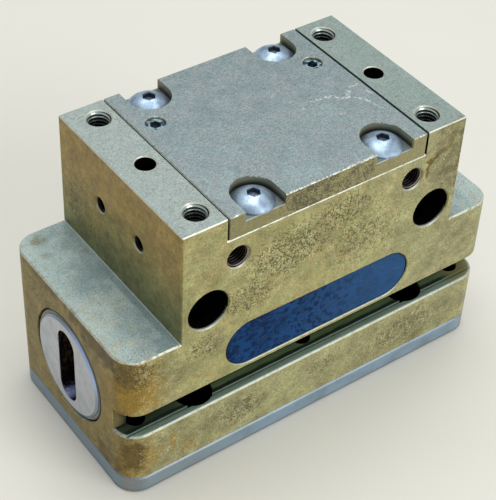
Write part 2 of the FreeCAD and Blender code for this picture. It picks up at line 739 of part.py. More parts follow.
def right_wiper_ring():
    """A ring whose outer corner slopes back towards the slide."""
    axis = ("0", "guide_height")
    face = f"({HALF_BASE} - wiper_sink)"
    inner = "slide_size/2 + seal_slack"
    outer = f"{SEAL_BORE} - fit_gap"
    slope = f"({outer} - ({inner}))/2"
    ring = fuse("wiper_blank", [
        bar("wiper_band", "X", (WIPER_START, f"{face} - {slope}"), axis, outer),
        cone("wiper_slope", "X", (f"{face} - {slope}", face), axis, outer, f"{outer} - {slope}"),
    ])
    return cut("right_wiper_ring", ring, [bar("wiper_hole", "X", (WIPER_START, face), axis, inner)])


def name_label():
    floor = f"(-{HALF_DEPTH} + label_recess)"
    size = ("label_length - 2*label_gap", "label_height - 2*label_gap")
    return stadium("name_label", "Y", "X", (f"{floor} - label_thick", floor), ("0", "label_centre"), *size)


def nodes():
    """Every piece of the gripper, fixed pieces first."""
    axis = ("0", "guide_height")
    bush = (SEAL_BORE_END, LIP_START)
    pieces = [housing(), cylinder_cover(), cover_screws(), port_plugs(), name_label()]
    pieces += [bottom_plate(), bottom_plate_screws(), bottom_seal_ring("bottom_seal"), rod_bush(), rod_seal()]
    pieces.append(stadium_ring("cover_seal", (f"{COVER_FLOOR} - cover_seal_tall", COVER_FLOOR),
                               "cover_seal_wall + cover_seal_wide - fit_gap", "cover_seal_wall + fit_gap"))
    pieces += [piston(), piston_bolt(), wedge_rod()]
    pieces.append(piston_groove("piston_seal", "piston_seal_low", "piston_seal_tall",
                                "piston_seal_deep - fit_gap", "seal_slack"))
    pieces.append(piston_groove("piston_guide_ring", "guide_ring_low", "guide_ring_tall",
                                "guide_ring_deep - fit_gap", "seal_slack"))
    right_hand = [right_jaw_slide(), right_lip_seal(), right_wiper_ring()]
    right_hand.append(tube("right_guide_bush", "X", bush, axis, f"{SEAL_BORE} - fit_gap",
                           "slide_size/2 + running_gap"))
    right_hand.append(magnet_bar("right_sensor_magnet", "slide_size/2 - magnet_sink",
                                 "magnet_size/2 - fit_gap"))
    for piece in right_hand:
        pieces += [piece, mirrored(piece.Name.replace("right", "left"), piece)]
    return pieces


def write(pieces):
    """Stops at any failed feature or bad solid, then writes one file for each piece."""
    doc.recompute()
    failed = [thing.Name for thing in doc.Objects if {"Invalid", "Error"} & set(thing.State)]
    failed += [piece.Name for piece in pieces if piece.Shape.isNull() or not piece.Shape.isValid()]
    if failed:
        raise RuntimeError("failed: " + ", ".join(failed))
    os.makedirs("parts", exist_ok=True)
    for piece in pieces:
        piece.Label = piece.Name
        piece.Shape.exportStep(f"parts/{piece.Label}.step")
        print(piece.Label, len(piece.Shape.Solids), round(piece.Shape.Volume, 2))


write(nodes())
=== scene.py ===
"""Finishes, cut threads, studio light and camera for a sealed parallel gripper."""

import functools
import json
import logging
import math
from dataclasses import dataclass
from enum import Enum

import bpy
import numpy as np
from mathutils import Matrix, Vector


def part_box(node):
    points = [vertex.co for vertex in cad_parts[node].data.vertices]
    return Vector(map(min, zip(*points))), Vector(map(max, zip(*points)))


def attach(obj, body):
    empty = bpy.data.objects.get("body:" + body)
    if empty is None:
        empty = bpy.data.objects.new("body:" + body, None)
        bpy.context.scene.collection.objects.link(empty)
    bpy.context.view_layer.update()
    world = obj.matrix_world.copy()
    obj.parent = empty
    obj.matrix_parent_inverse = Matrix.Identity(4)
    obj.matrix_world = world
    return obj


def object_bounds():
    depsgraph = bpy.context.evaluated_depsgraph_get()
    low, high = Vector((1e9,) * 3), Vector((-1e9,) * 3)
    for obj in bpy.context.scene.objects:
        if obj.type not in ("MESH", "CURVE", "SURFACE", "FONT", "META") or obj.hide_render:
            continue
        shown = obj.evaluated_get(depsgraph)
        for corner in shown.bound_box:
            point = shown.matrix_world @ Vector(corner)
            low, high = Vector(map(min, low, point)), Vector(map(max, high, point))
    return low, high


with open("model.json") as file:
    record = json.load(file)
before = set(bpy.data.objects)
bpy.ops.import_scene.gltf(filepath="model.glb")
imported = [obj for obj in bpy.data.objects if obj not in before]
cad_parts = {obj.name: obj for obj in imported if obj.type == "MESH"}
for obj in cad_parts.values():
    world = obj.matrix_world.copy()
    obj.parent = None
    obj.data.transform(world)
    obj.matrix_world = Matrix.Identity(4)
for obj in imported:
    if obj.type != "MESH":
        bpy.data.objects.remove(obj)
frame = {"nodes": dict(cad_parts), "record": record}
CAD_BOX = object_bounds()

LOG = logging.getLogger("gripper_scene")
MM = 0.001
Array = np.ndarray
Triple = tuple[float, float, float]
Step = tuple[float, float]


def box_mm(node: str) -> tuple[Array, Array]:
    """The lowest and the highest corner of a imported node, in millimetres."""
    low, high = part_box(node)
    return np.array(low) / MM, np.array(high) / MM


def mount(name: str) -> tuple[Array, dict]:
    """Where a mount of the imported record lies, in millimetres, and its sizes."""
    found = next(entry for entry in frame["record"]["mounts"] if entry["name"] == name)
    return np.array(found["pos_m"]) / MM, found["dims"]


LEFT_END, FRONT, _ = box_mm("housing")[0].tolist()
UPPER_LEFT_END = mount("bracket_left")[0].tolist()[0]
COVER_TOP = box_mm("cylinder_cover")[1].tolist()[2]
LEDGE = 44.6

NOISE_MIDDLE = 0.5
BLOT_SWAY = 1.5
STROKE_SWAY = 3.6
BARE_METAL: Triple = (0.74, 0.77, 0.68)
# Painted shade: the near-black put inside holes, the groove and the seams, where only shade falls.
HOLLOW_SHADE: Triple = (0.005, 0.005, 0.004)


class Side(Enum):
    """The two ends of the gripper, with the sign of X there."""

    LEFT = -1
    RIGHT = 1

    @property
    def word(self) -> str:
        """The side's name as the nodes and bodies spell it."""
        return self.name.lower()


class Mark(Enum):
    """What time has left on the anodised faces."""

    SPECKLE = "dense dark pits"
    RUST = "orange-brown film"
    GREASE = "grey-olive smear"
    GRIME = "dark brown film"


class Value:
    """A number that changes over a surface: a socket whose arithmetic adds Math nodes."""

    def __init__(self, shader: "Shader", socket: bpy.types.NodeSocket) -> None:
        """Keeps the socket and the shader that it belongs to."""
        self.shader = shader
        self.socket = socket

    def __add__(self, other: "Value | float") -> "Value":
        """The sum."""
        return self.shader.math("ADD", self, other)

    def __radd__(self, other: float) -> "Value":
        """The sum, from the right."""
        return self.shader.math("ADD", other, self)

    def __sub__(self, other: "Value | float") -> "Value":
        """The difference."""
        return self.shader.math("SUBTRACT", self, other)

    def __rsub__(self, other: float) -> "Value":
        """The difference, from the right."""
        return self.shader.math("SUBTRACT", other, self)

    def __mul__(self, other: "Value | float") -> "Value":
        """The product."""
        return self.shader.math("MULTIPLY", self, other)

    def __rmul__(self, other: float) -> "Value":
        """The product, from the right."""
        return self.shader.math("MULTIPLY", other, self)

    def __truediv__(self, other: "Value | float") -> "Value":
        """The quotient."""
        return self.shader.math("DIVIDE", self, other)

    def __pow__(self, other: float) -> "Value":
        """A power of a number that isn't negative."""
        return self.shader.math("POWER", self, other)

    def __neg__(self) -> "Value":
        """The number with its sign turned."""
        return self.shader.math("MULTIPLY", self, -1.0)

    def __abs__(self) -> "Value":
        """The number without its sign."""
        return self.shader.math("ABSOLUTE", self)

    def least(self, other: "Value | float") -> "Value":
        """The smaller of two numbers."""
        return self.shader.math("MINIMUM", self, other)

    def most(self, other: "Value | float") -> "Value":
        """The larger of two numbers."""
        return self.shader.math("MAXIMUM", self, other)

    def rise(self, low: float, high: float) -> "Value":
        """A smooth step from 0 at low to 1 at high.

        Args:
            low: where the step starts.
            high: where the step ends.

        Returns:
            The step, between 0 and 1.
        """
        node = self.shader.make(
            "ShaderNodeMapRange",
            {"interpolation_type": "SMOOTHSTEP"},
            {"Value": self, "From Min": low, "From Max": high},
        )
        return Value(self.shader, node.outputs["Result"])

    def fall(self, low: float, high: float) -> "Value":
        """A smooth step from 1 at low to 0 at high."""
        return 1.0 - self.rise(low, high)

    def swing(self, amount: "Value | float") -> "Value":
        """Noise about 0 instead of about its middle, times an amount."""
        return (self - NOISE_MIDDLE) * amount


Source = Value | bpy.types.NodeSocket | float | tuple


@dataclass(frozen=True)
class Cloud:
    """Cloudy noise: the width of its lumps in millimetres, its finer layers, its stretch and its shift."""

    size: float
    layers: float = 3.0
    stretch: Triple = (1.0, 1.0, 1.0)
    shift: Triple = (0.0, 0.0, 0.0)


class Shader:
    """One material's node tree, written as expressions in millimetres."""

    def __init__(self, name: str) -> None:
        """Starts an empty material with its object coordinates, in millimetres, and its normal.

        Args:
            name: the material's name.
        """
        self.material = bpy.data.materials.new(name)
        self.material.use_nodes = True
        self.tree = self.material.node_tree
        self.tree.nodes.clear()
        source = self.make("ShaderNodeTexCoord")
        self.place = self.vector("SCALE", source.outputs["Object"], scale=1.0 / MM)
        self.x, self.y, self.z = self.split(self.place)
        self.facing_x, self.facing_y, self.facing_z = self.split(source.outputs["Normal"])

    def make(self, kind: str, settings: dict | None = None, inputs: dict | None = None) -> bpy.types.Node:
        """Adds any node.

        Args:
            kind: the node's type.
            settings: its properties, which are set first.
            inputs: a value or a link for each named or numbered socket.

        Returns:
            The node.
        """
        node = self.tree.nodes.new(kind)
        for name, setting in (settings or {}).items():
            setattr(node, name, setting)
        for key, source in (inputs or {}).items():
            source = source.socket if isinstance(source, Value) else source
            if isinstance(source, bpy.types.NodeSocket):
                self.tree.links.new(source, node.inputs[key])
            else:
                node.inputs[key].default_value = source
        return node

    def math(self, operation: str, first: Value | float, second: Value | float = 0.0) -> Value:
        """Adds one Math node.

        Args:
            operation: the node's operation.
            first: the left operand.
            second: the right operand, where the operation has one.

        Returns:
            The result.
        """
        node = self.make("ShaderNodeMath", {"operation": operation}, {0: first, 1: second})
        return Value(self, node.outputs[0])

    def vector(self, operation: str, first: Source, second: Source = (0.0, 0.0, 0.0),
               scale: Value | float = 1.0) -> bpy.types.NodeSocket:
        """Adds one Vector Math node.

        Args:
            operation: the node's operation.
            first: the left operand.
            second: the right operand, where the operation has one.
            scale: the factor of a SCALE operation.

        Returns:
            The resulting vector, or the number that LENGTH and DOT_PRODUCT give.
        """
        inputs = {0: first, "Scale": scale} if operation == "SCALE" else {0: first, 1: second}
        node = self.make("ShaderNodeVectorMath", {"operation": operation}, inputs)
        return node.outputs["Value" if operation in ("LENGTH", "DOT_PRODUCT") else "Vector"]

    def split(self, vector: bpy.types.NodeSocket) -> list[Value]:
        """The three numbers of a vector."""
        node = self.make("ShaderNodeSeparateXYZ", None, {0: vector})
        return [Value(self, node.outputs[axis]) for axis in "XYZ"]

    def noise(self, cloud: Cloud) -> Value:
        """Cloudy noise about its middle.

        Args:
            cloud: its size, layers, stretch and shift.

        Returns:
            The noise, mostly between 0.25 and 0.75.
        """
        squeeze = tuple(1.0 / (cloud.size * length) for length in cloud.stretch)
        spot = self.vector("MULTIPLY", self.vector("ADD", self.place, cloud.shift), squeeze)
        node = self.make("ShaderNodeTexNoise", None, {"Vector": spot, "Scale": 1.0, "Detail": cloud.layers})
        return Value(self, node.outputs[0])

    def attribute(self, name: str) -> Value:
        """The number that the mesh holds under a name."""
        return Value(self, self.make("ShaderNodeAttribute", {"attribute_name": name}).outputs["Fac"])

    def line(self, start: Triple, end: Triple) -> Value:
        """Distance from the straight line between two points.

        Args:
            start: one end of the line.
            end: its other end.

        Returns:
            The distance in millimetres.
        """
        run = np.subtract(end, start)
        offset = self.vector("SUBTRACT", self.place, start)
        share = Value(self, self.vector("DOT_PRODUCT", offset, tuple(run / run.dot(run))))
        foot = self.vector("SCALE", tuple(run), scale=share.most(0.0).least(1.0))
        return Value(self, self.vector("LENGTH", self.vector("SUBTRACT", offset, foot)))

    def reach(self, centre: Triple, radii: Triple) -> Value:
        """Distance from a point, in shares of an ellipsoid's radii."""
        offset = self.vector("SUBTRACT", self.place, centre)
        return Value(self, self.vector("LENGTH", self.vector("DIVIDE", offset, radii)))

    def sloping(self) -> Value:
        """1 on faces that look along none of the three axes, such as those that break the edges."""
        largest = abs(self.facing_x).most(abs(self.facing_y)).most(abs(self.facing_z))
        return largest.fall(0.86, 0.97)

    def mix(self, share: Source, first: Source, second: Source) -> bpy.types.NodeSocket:
        """A blend of two colours.

        Args:
            share: how much of the second there is, from 0 to 1.
            first: the colour where the share is 0.
            second: the colour where it is 1.

        Returns:
            The blend.
        """
        ends = [colour + (1.0,) if isinstance(colour, tuple) else colour for colour in (first, second)]
        node = self.make("ShaderNodeMix", {"data_type": "RGBA"}, {0: share, 6: ends[0], 7: ends[1]})
        return node.outputs[2]

    def shade(self, colour: Source, amount: Value) -> bpy.types.NodeSocket:
        """A colour made lighter or darker by a factor."""
        return self.vector("SCALE", colour, scale=amount)

    def bump(self, height: Value, strength: float, distance: float) -> bpy.types.NodeSocket:
        """A normal that follows a height, given the bump's strength and its depth in millimetres."""
        inputs = {"Height": height, "Strength": strength, "Distance": distance * MM}
        return self.make("ShaderNodeBump", None, inputs).outputs[0]

    def close(self, **sockets: Source) -> bpy.types.Material:
        """Ends the tree in a Principled shader.

        Args:
            sockets: the shader's sockets by name, with an underscore for a space.

        Returns:
            The finished material.
        """
        inputs = {name.replace("_", " "): source for name, source in sockets.items()}
        surface = self.make("ShaderNodeBsdfPrincipled", None, inputs)
        self.make("ShaderNodeOutputMaterial", None, {"Surface": surface.outputs[0]})
        return self.material


def span(first: Value, second: Value) -> Value:
    """The distance that two offsets at right angles make: the root of the sum of their squares."""
    return (first * first + second * second) ** 0.5


def stadium(along: Value, across: Value, half_length: float, radius: float) -> Value:
    """Distance from the middle line of a round-ended bar, which is its radius all along its outline.

    Args:
        along: the offset from its centre the long way.
        across: the offset the short way.
        half_length: half its length, round ends included.
        radius: the radius of its ends.

    Returns:
        The distance in millimetres.
    """
    past = (abs(along) - (half_length - radius)).most(0.0)
    return span(across, past)


def strongest(shares: list[Value]) -> Value:
    """The largest of several shares."""
    return functools.reduce(Value.most, shares)


@dataclass(frozen=True)
class Blot:
    """A mark with a soft, uneven edge: where it lies, how far it reaches and how strong it is."""

    mark: Mark
    centre: Triple
    radii: Triple
    strength: float = 1.0

    def share(self, shader: Shader, sway: Value) -> Value:
        """How much of the mark there is at a point, all in the middle of its ellipsoid and none past it.

        Args:
            shader: the material that the mark lies on.
            sway: noise about 0 that moves its edge in and out.

        Returns:
            The share, between 0 and the mark's strength.
        """
        return (shader.reach(self.centre, self.radii) + sway).fall(0.4, 1.05) * self.strength


@dataclass(frozen=True)
class Stroke:
    """A thin mark between two points: how wide it is to each side and how strong it is."""

    start: Triple
    end: Triple
    width: float
    strength: float

    def share(self, shader: Shader, sway: Value) -> Value:
        """How much of the mark there is at a point, all along its line and none past its width.

        Args:
            shader: the material that the mark lies on.
            sway: noise about 0 that moves its edge in and out.

        Returns:
            The share, between 0 and the mark's strength.
        """
        return (shader.line(self.start, self.end) / self.width + sway).fall(0.5, 1.3) * self.strength


def on_front(mark: Mark, x: float, z: float, wide: float, high: float, strength: float = 1.0,
             deep: float = 3.0) -> Blot:
    """A blot on the block's front.

    Args:
        mark: what kind it is.
        x: its centre along the front.
        z: the height of its centre.
        wide: how far it reaches to each side.
        high: how far it reaches up and down.
        strength: how strong it is.
        deep: how far it reaches round the edges of the front.

    Returns:
        The blot.
    """
    return Blot(mark, (x, FRONT, z), (wide, deep, high), strength)


def on_end(mark: Mark, x: float, y: float, z: float, wide: float, high: float, strength: float = 1.0,
           deep: float = 3.0) -> Blot:
    """A blot on one of the block's two left end faces.

    Args:
        mark: what kind it is.
        x: where the face lies.
        y: its centre along the face.
        z: the height of its centre.
        wide: how far it reaches to each side.
        high: how far it reaches up and down.
        strength: how strong it is.
        deep: how far it reaches round the edges of the face.

    Returns:
        The blot.
    """
    return Blot(mark, (x, y, z), (deep, wide, high), strength)


BLOCK_BLOTS = (
    on_front(Mark.SPECKLE, -11.0, 59.0, 17.0, 9.0),
    on_front(Mark.SPECKLE, -22.0, 50.0, 10.0, 6.0, 0.9),
    on_front(Mark.SPECKLE, 4.0, 63.0, 12.0, 7.0),
    on_front(Mark.SPECKLE, 10.0, 53.0, 13.0, 9.0, 0.8),
    on_front(Mark.SPECKLE, 20.0, 51.0, 6.0, 8.0, 0.5),
    on_front(Mark.SPECKLE, -34.0, 40.5, 5.5, 5.0, 0.9),
    on_front(Mark.SPECKLE, -23.0, 12.5, 9.0, 6.0, 0.8),
    on_front(Mark.SPECKLE, 2.0, 13.5, 8.0, 4.5, 0.7),
    on_front(Mark.SPECKLE, 30.0, 12.0, 14.0, 6.0, 0.8),
    Blot(Mark.SPECKLE, (-52.0, -24.0, 40.0), (9.0, 6.0, 6.5)),
    on_end(Mark.SPECKLE, UPPER_LEFT_END, 20.0, 54.0, 4.0, 7.0, 0.9),
    on_end(Mark.SPECKLE, UPPER_LEFT_END, 8.0, 50.0, 12.0, 5.0, 0.5),
    on_end(Mark.SPECKLE, LEFT_END, 12.0, 38.0, 9.0, 5.0, 0.6),
    on_front(Mark.GREASE, -41.6, 34.6, 3.2, 2.2),
    on_front(Mark.GREASE, -44.0, 37.0, 9.0, 10.0, 0.5),
    on_front(Mark.GREASE, -31.0, 39.5, 3.0, 3.5, 0.8),
    on_front(Mark.GREASE, 43.0, 37.0, 10.0, 10.0, 0.5),
    on_front(Mark.GREASE, -35.0, 12.0, 18.0, 9.0, 0.5),
    on_front(Mark.GREASE, -20.0, 13.0, 6.5, 4.5, 0.9),
    on_front(Mark.GREASE, 30.0, 12.0, 22.0, 9.0, 0.6),
    on_front(Mark.GREASE, 37.0, 66.0, 8.0, 16.0, deep=2.0),
    Blot(Mark.GREASE, (-49.7, 22.4, LEDGE), (2.8, 2.4, 1.5), 0.7),
    Blot(Mark.GREASE, (-50.7, 16.6, LEDGE), (1.8, 1.4, 1.5), 0.7),
    Blot(Mark.RUST, (-51.8, -24.0, 35.0), (9.0, 6.0, 14.0)),
    Blot(Mark.RUST, (-52.0, -25.0, 12.0), (8.0, 5.0, 9.0), 0.8),
    on_end(Mark.RUST, LEFT_END, -18.5, 28.0, 4.5, 14.0, 0.45),
    on_front(Mark.RUST, -42.3, 13.0, 1.2, 5.0, 0.7, 2.0),
    on_front(Mark.RUST, -38.0, 9.5, 3.0, 3.5, 0.5, 2.0),
    on_front(Mark.GRIME, 40.1, 65.0, 1.6, 14.0, 0.4, 2.0),
    on_end(Mark.GRIME, LEFT_END, -13.0, 43.0, 16.0, 5.6),
    on_end(Mark.GRIME, LEFT_END, 12.0, 43.6, 12.0, 3.0, 0.6),
    on_end(Mark.GRIME, LEFT_END, -17.0, 8.0, 8.0, 5.0, 0.7),
    Blot(Mark.GRIME, (-53.5, -24.3, 41.0), (5.5, 5.0, 6.5), 0.65),
    Blot(Mark.GRIME, (-53.0, -24.6, 13.0), (4.2, 4.6, 7.0), 0.95),
)
OIL_DRIP = tuple(
    Stroke((x, FRONT, z), (end_x, FRONT, end_z), width, strength)
    for x, z, end_x, end_z, width, strength in (
        (29.9, 67.0, 29.8, 65.8, 0.75, 1.0),
        (29.8, 65.8, 29.8, 62.4, 0.5, 0.9),
        (30.3, 66.7, 31.6, 67.2, 0.6, 0.95),
        (31.6, 67.2, 32.6, 68.4, 0.55, 0.85),
        (32.6, 68.4, 36.0, 69.2, 0.9, 0.5),
        (36.0, 69.2, 36.6, 73.0, 0.9, 0.4),
    )
)
COVER_SCRAPES = tuple(
    Stroke((x, y, COVER_TOP), (end_x, end_y, COVER_TOP), width, strength)
    for x, y, end_x, end_y, width, strength in (
        (8.6, -2.8, 9.6, -2.7, 0.3, 0.5),
        (12.7, -1.5, 15.2, -1.8, 0.3, 0.7),
        (16.9, -2.0, 18.4, -2.2, 0.42, 0.9),
        (18.4, -2.2, 19.5, -4.2, 0.36, 0.95),
        (19.5, -4.2, 21.5, -4.9, 0.4, 1.0),
        (21.5, -3.8, 22.7, -2.6, 0.26, 0.55),
        (21.9, -4.3, 23.2, -3.0, 0.26, 0.6),
        (22.5, -5.5, 23.6, -6.7, 0.26, 0.6),
        (23.6, -6.7, 24.5, -8.6, 0.36, 0.85),
        (24.7, -9.8, 25.8, -13.2, 0.26, 0.35),
        (24.3, -1.8, 26.7, -1.7, 0.4, 0.55),
        (26.8, -5.0, 27.2, -6.1, 0.3, 0.5),
        (15.5, -9.1, 16.7, -9.5, 0.3, 0.4),
        (5.2, -25.7, 14.8, -25.7, 0.3, 0.9),
    )
)


@dataclass(frozen=True)
class BlockShape:
    """The outer sizes of the stepped block, in millimetres, which tell its faces from its hollows."""

    base_half: float
    half_depth: float
    top: float
    upper_half: float
    ledge: float = LEDGE
    corner: float = 6.0
    foot: Step = (4.9, 5.3)
    waist: Step = (50.0, 60.0)
    mouth_slope: Step = (0.3, 0.5)
    mouth_reach: Step = (1.0, 1.2)
    groove_middle: float = 23.3
    groove_lip: float = 1.8
    groove_undercut: float = 0.7
    groove_reach: Step = (4.2, 4.5)

    def depth(self, shader: Shader) -> Value:
        """How far a point lies inside the block's outer faces.

        The lower part is a rectangle with round corners: the distance from its rounded outline, or from
        the ledge if that is nearer. The upper part is a plain box. The block is both together.

        Args:
            shader: the material that reads the number.

        Returns:
            The depth in millimetres, 0 on the outer faces.
        """
        past_x = (abs(shader.x) - (self.base_half - self.corner)).most(0.0)
        past_y = (abs(shader.y) - (self.half_depth - self.corner)).most(0.0)
        lower = (self.corner - span(past_x, past_y)).least(self.ledge - shader.z)
        upper = (self.upper_half - abs(shader.x)).least(self.half_depth - abs(shader.y))
        return lower.most(upper.least(self.top - shader.z))

    def chamfer(self, shader: Shader) -> Value:
        """1 on the narrow sloping faces that break the edges, and 0 on flat faces and round corners.

        Args:
            shader: the material that reads the number.

        Returns:
            The share.
        """
        on_base = (abs(shader.x) - self.upper_half).rise(1.0, 2.0)
        upright_corner = abs(shader.facing_z).fall(0.1, 0.3) * on_base
        return shader.sloping() * (1.0 - upright_corner)

    def mouth(self, shader: Shader) -> Value:
        """1 on faces just inside an outer face that look out of it, such as cones that break holes' mouths.

        Args:
            shader: the material that reads the number.

        Returns:
            The share, 0 on the straight walls of holes.
        """
        along = abs(shader.x)
        near_front = (self.half_depth - abs(shader.y)).fall(*self.mouth_reach)
        near_top = (self.top - shader.z).fall(*self.mouth_reach)
        near_end = abs(along - self.upper_half).least(self.base_half - along).fall(*self.mouth_reach)
        front = abs(shader.facing_y).rise(*self.mouth_slope) * near_front
        up = shader.facing_z.rise(*self.mouth_slope) * near_top
        return front.most(up).most(abs(shader.facing_x).rise(*self.mouth_slope) * near_end)

    def below_waist(self, shader: Shader) -> Value:
        """1 up to the ledges and 0 at the top."""
        return shader.z.fall(*self.waist)

    def groove(self, shader: Shader) -> Value:
        """1 between the heights that the sensor groove's undercut reaches."""
        return abs(shader.z - self.groove_middle).fall(*self.groove_reach)


@dataclass(frozen=True)
class AnodisedFinish:
    """Hard-anodised aluminium that has been handled, oiled and stained, with painted light, shade and
    reflection in its colours.
    """

    name: str = "anodised_block"
    front: Triple = (0.356, 0.354, 0.150)
    front_dull: Triple = (0.290, 0.266, 0.114)
    front_tan: Triple = (0.388, 0.330, 0.142)
    front_grey: Triple = (0.345, 0.338, 0.184)
    # The ends' brown is a painted reflection; their darker, greener foot by the ledge is painted shade.
    end: Triple = (0.322, 0.224, 0.065)
    end_low: Triple = (0.166, 0.176, 0.070)
    base_end: Triple = (0.236, 0.178, 0.056)
    # The top's coat, lighter at the left end than at the right as painted light.
    level: Triple = (0.353, 0.408, 0.381)
    level_right: Triple = (0.273, 0.336, 0.309)
    pit: Triple = (0.088, 0.076, 0.034)
    fleck: Triple = (0.52, 0.51, 0.32)
    rust: Triple = (0.300, 0.182, 0.024)
    grease: Triple = (0.205, 0.185, 0.090)
    # A dark brown film of dirt, also used for the painted shade along the block's foot.
    grime: Triple = (0.095, 0.062, 0.016)
    drip: Triple = (0.132, 0.086, 0.002)
    worn: Triple = BARE_METAL
    hollow: Triple = HOLLOW_SHADE
    seam_dim: Triple = (0.120, 0.215, 0.225)
    # Painted light and shade in the sensor groove: a lit lip, shade behind it and at the back, a dim floor
    # and wall, highlight lines and lit ends.
    groove_lip: Triple = (0.190, 0.280, 0.208)
    groove_floor: Triple = (0.112, 0.168, 0.073)
    groove_dark: Triple = (0.012, 0.022, 0.013)
    groove_wall: Triple = (0.060, 0.090, 0.037)
    groove_line: Triple = (0.30, 0.40, 0.33)
    groove_end: Triple = (0.240, 0.230, 0.095)
    groove_left: Triple = (0.155, 0.128, 0.050)
    ledge_pale: Triple = (0.418, 0.508, 0.484)
    ledge_blue: Triple = (0.195, 0.275, 0.290)
    ledge_brown: Triple = (0.255, 0.270, 0.205)
    ledge_tan: Triple = (0.430, 0.420, 0.315)
    ledge_foot: Triple = (0.56, 0.66, 0.64)
    roughness: float = 0.45
    blots: tuple[Blot, ...] = BLOCK_BLOTS
    drips: tuple[Stroke, ...] = OIL_DRIP

    grain: Cloud = Cloud(0.36)
    mottle: Cloud = Cloud(1.9, 5.0, shift=(31.0, 7.0, 3.0))
    patches: Cloud = Cloud(4.5, 6.0, shift=(11.0, 2.0, 27.0))
    pit_grain: Cloud = Cloud(0.5, 5.0, shift=(3.0, 50.0, 11.0))
    pit_clusters: Cloud = Cloud(1.25, 4.0, shift=(14.0, 3.0, 8.0))
    dulling: Cloud = Cloud(7.0, 4.0)
    tanning: Cloud = Cloud(3.2, shift=(40.0, 0.0, 21.0))
    grease_islands: Cloud = Cloud(2.6, 6.0, shift=(2.0, 0.0, 15.0))
    drip_edge: Cloud = Cloud(1.2)
    ledge_clouds: Cloud = Cloud(11.0, 4.0, shift=(0.0, 12.0, 0.0))
    ledge_grain: Cloud = Cloud(0.5, shift=(9.0, 1.0, 0.0))
    ledge_tanning: Cloud = Cloud(3.4, 4.0, shift=(60.0, 0.0, 0.0))
    water_marks: Cloud = Cloud(5.5, 6.0, shift=(0.0, 30.0, 0.0))
    edge_wear: Cloud = Cloud(1.4, 4.0)
    groove_dirt: Cloud = Cloud(1.3, 4.0, stretch=(3.0, 1.0, 1.0))
    groove_streaks: Cloud = Cloud(0.35, stretch=(16.0, 1.0, 1.0), shift=(0.0, 2.0, 6.0))

    handled_below: Step = (20.0, 30.0)
    handled_right: Step = (5.0, 30.0)
    end_fade: Step = (-8.0, 20.0)
    top_fade: Step = (-34.0, 34.0)
    tan_front: Step = (-4.0, 10.0)
    strip_fade: Step = (-6.0, 16.0)
    puddle_front: Step = (-21.6, -21.0)
    puddle_left: Step = (-1.0, 1.0)
    rubbed_above: Step = (58.0, 68.0)
    seam_lit: Step = (0.8, 2.0)
    groove_lit: Step = (-44.0, -32.0)
    groove_wall_lit: Step = (-40.0, -30.0)
    groove_back: Step = (5.1, 5.6)

    def marks(self, shader: Shader, mark: Mark, mottle: Value) -> Value:
        """The share of one kind of mark: the strongest of its blots.

        Args:
            shader: the material that the marks lie on.
            mark: which kind.
            mottle: noise that makes their edges ragged.

        Returns:
            The share, between 0 and 1.
        """
        sway = mottle.swing(BLOT_SWAY)
        return strongest([blot.share(shader, sway) for blot in self.blots if blot.mark is mark])

    def handled(self, shader: Shader) -> Value:
        """1 low down and to the right, where the front is greyer and more worn."""
        return shader.z.fall(*self.handled_below).most(shader.x.rise(*self.handled_right))

    def upright_coat(self, shader: Shader, shape: BlockShape, mottle: Value) -> bpy.types.NodeSocket:
        """The coat of the upright faces: gold in front, partly a painted reflection of warm surroundings, and
        brown on the ends, a painted reflection of brown surroundings, with a greener foot in painted shade.

        Args:
            shader: the material.
            shape: the block, whose ends and front differ.
            mottle: noise that breaks the coat up.

        Returns:
            The colour.
        """
        cloud = shader.noise(self.dulling)
        tanned = shader.noise(self.tanning).rise(0.40, 0.62)
        coat = shader.mix((cloud + mottle - NOISE_MIDDLE).rise(0.36, 0.72), self.front, self.front_dull)
        coat = shader.mix(tanned * 0.8, coat, self.front_tan)
        coat = shader.mix(self.handled(shader) * 0.5, coat, self.front_grey)
        # Painted shade and light on the ends: darker and greener towards the ledge, lighter towards the back.
        height = (shader.z - shape.ledge) / (shape.top - shape.ledge)
        height = height + cloud.swing(0.4) + shader.y.rise(*self.end_fade) * 0.1
        end_coat = shader.mix(height.rise(0.05, 0.9), self.end_low, self.end)
        on_base = abs(shader.x).rise(shape.upper_half + 1.0, shape.upper_half + 3.0)
        end_coat = shader.mix(on_base, end_coat, self.base_end)
        return shader.mix(abs(shader.facing_x).rise(0.35, 0.85), coat, end_coat)

    def stained(self, shader: Shader, coat: Source, mottle: Value) -> bpy.types.NodeSocket:
        """A coat with films of grease anywhere, rust and grime on upright faces, and a drip of oil.

        Args:
            shader: the material.
            coat: the clean colour.
            mottle: noise that makes the films' edges ragged.

        Returns:
            The stained colour.
        """
        upright = shader.facing_z.fall(0.2, 0.5)
        islands = 0.5 + 0.5 * shader.noise(self.grease_islands).rise(0.46, 0.54)
        coat = shader.mix(self.marks(shader, Mark.GREASE, mottle) * islands, coat, self.grease)
        coat = shader.mix(self.marks(shader, Mark.RUST, mottle) * upright * 0.9, coat, self.rust)
        sway = shader.noise(self.drip_edge).swing(STROKE_SWAY)
        coat = shader.mix(strongest([stroke.share(shader, sway) for stroke in self.drips]), coat, self.drip)
        return shader.mix(self.marks(shader, Mark.GRIME, mottle) * upright * 0.85, coat, self.grime)

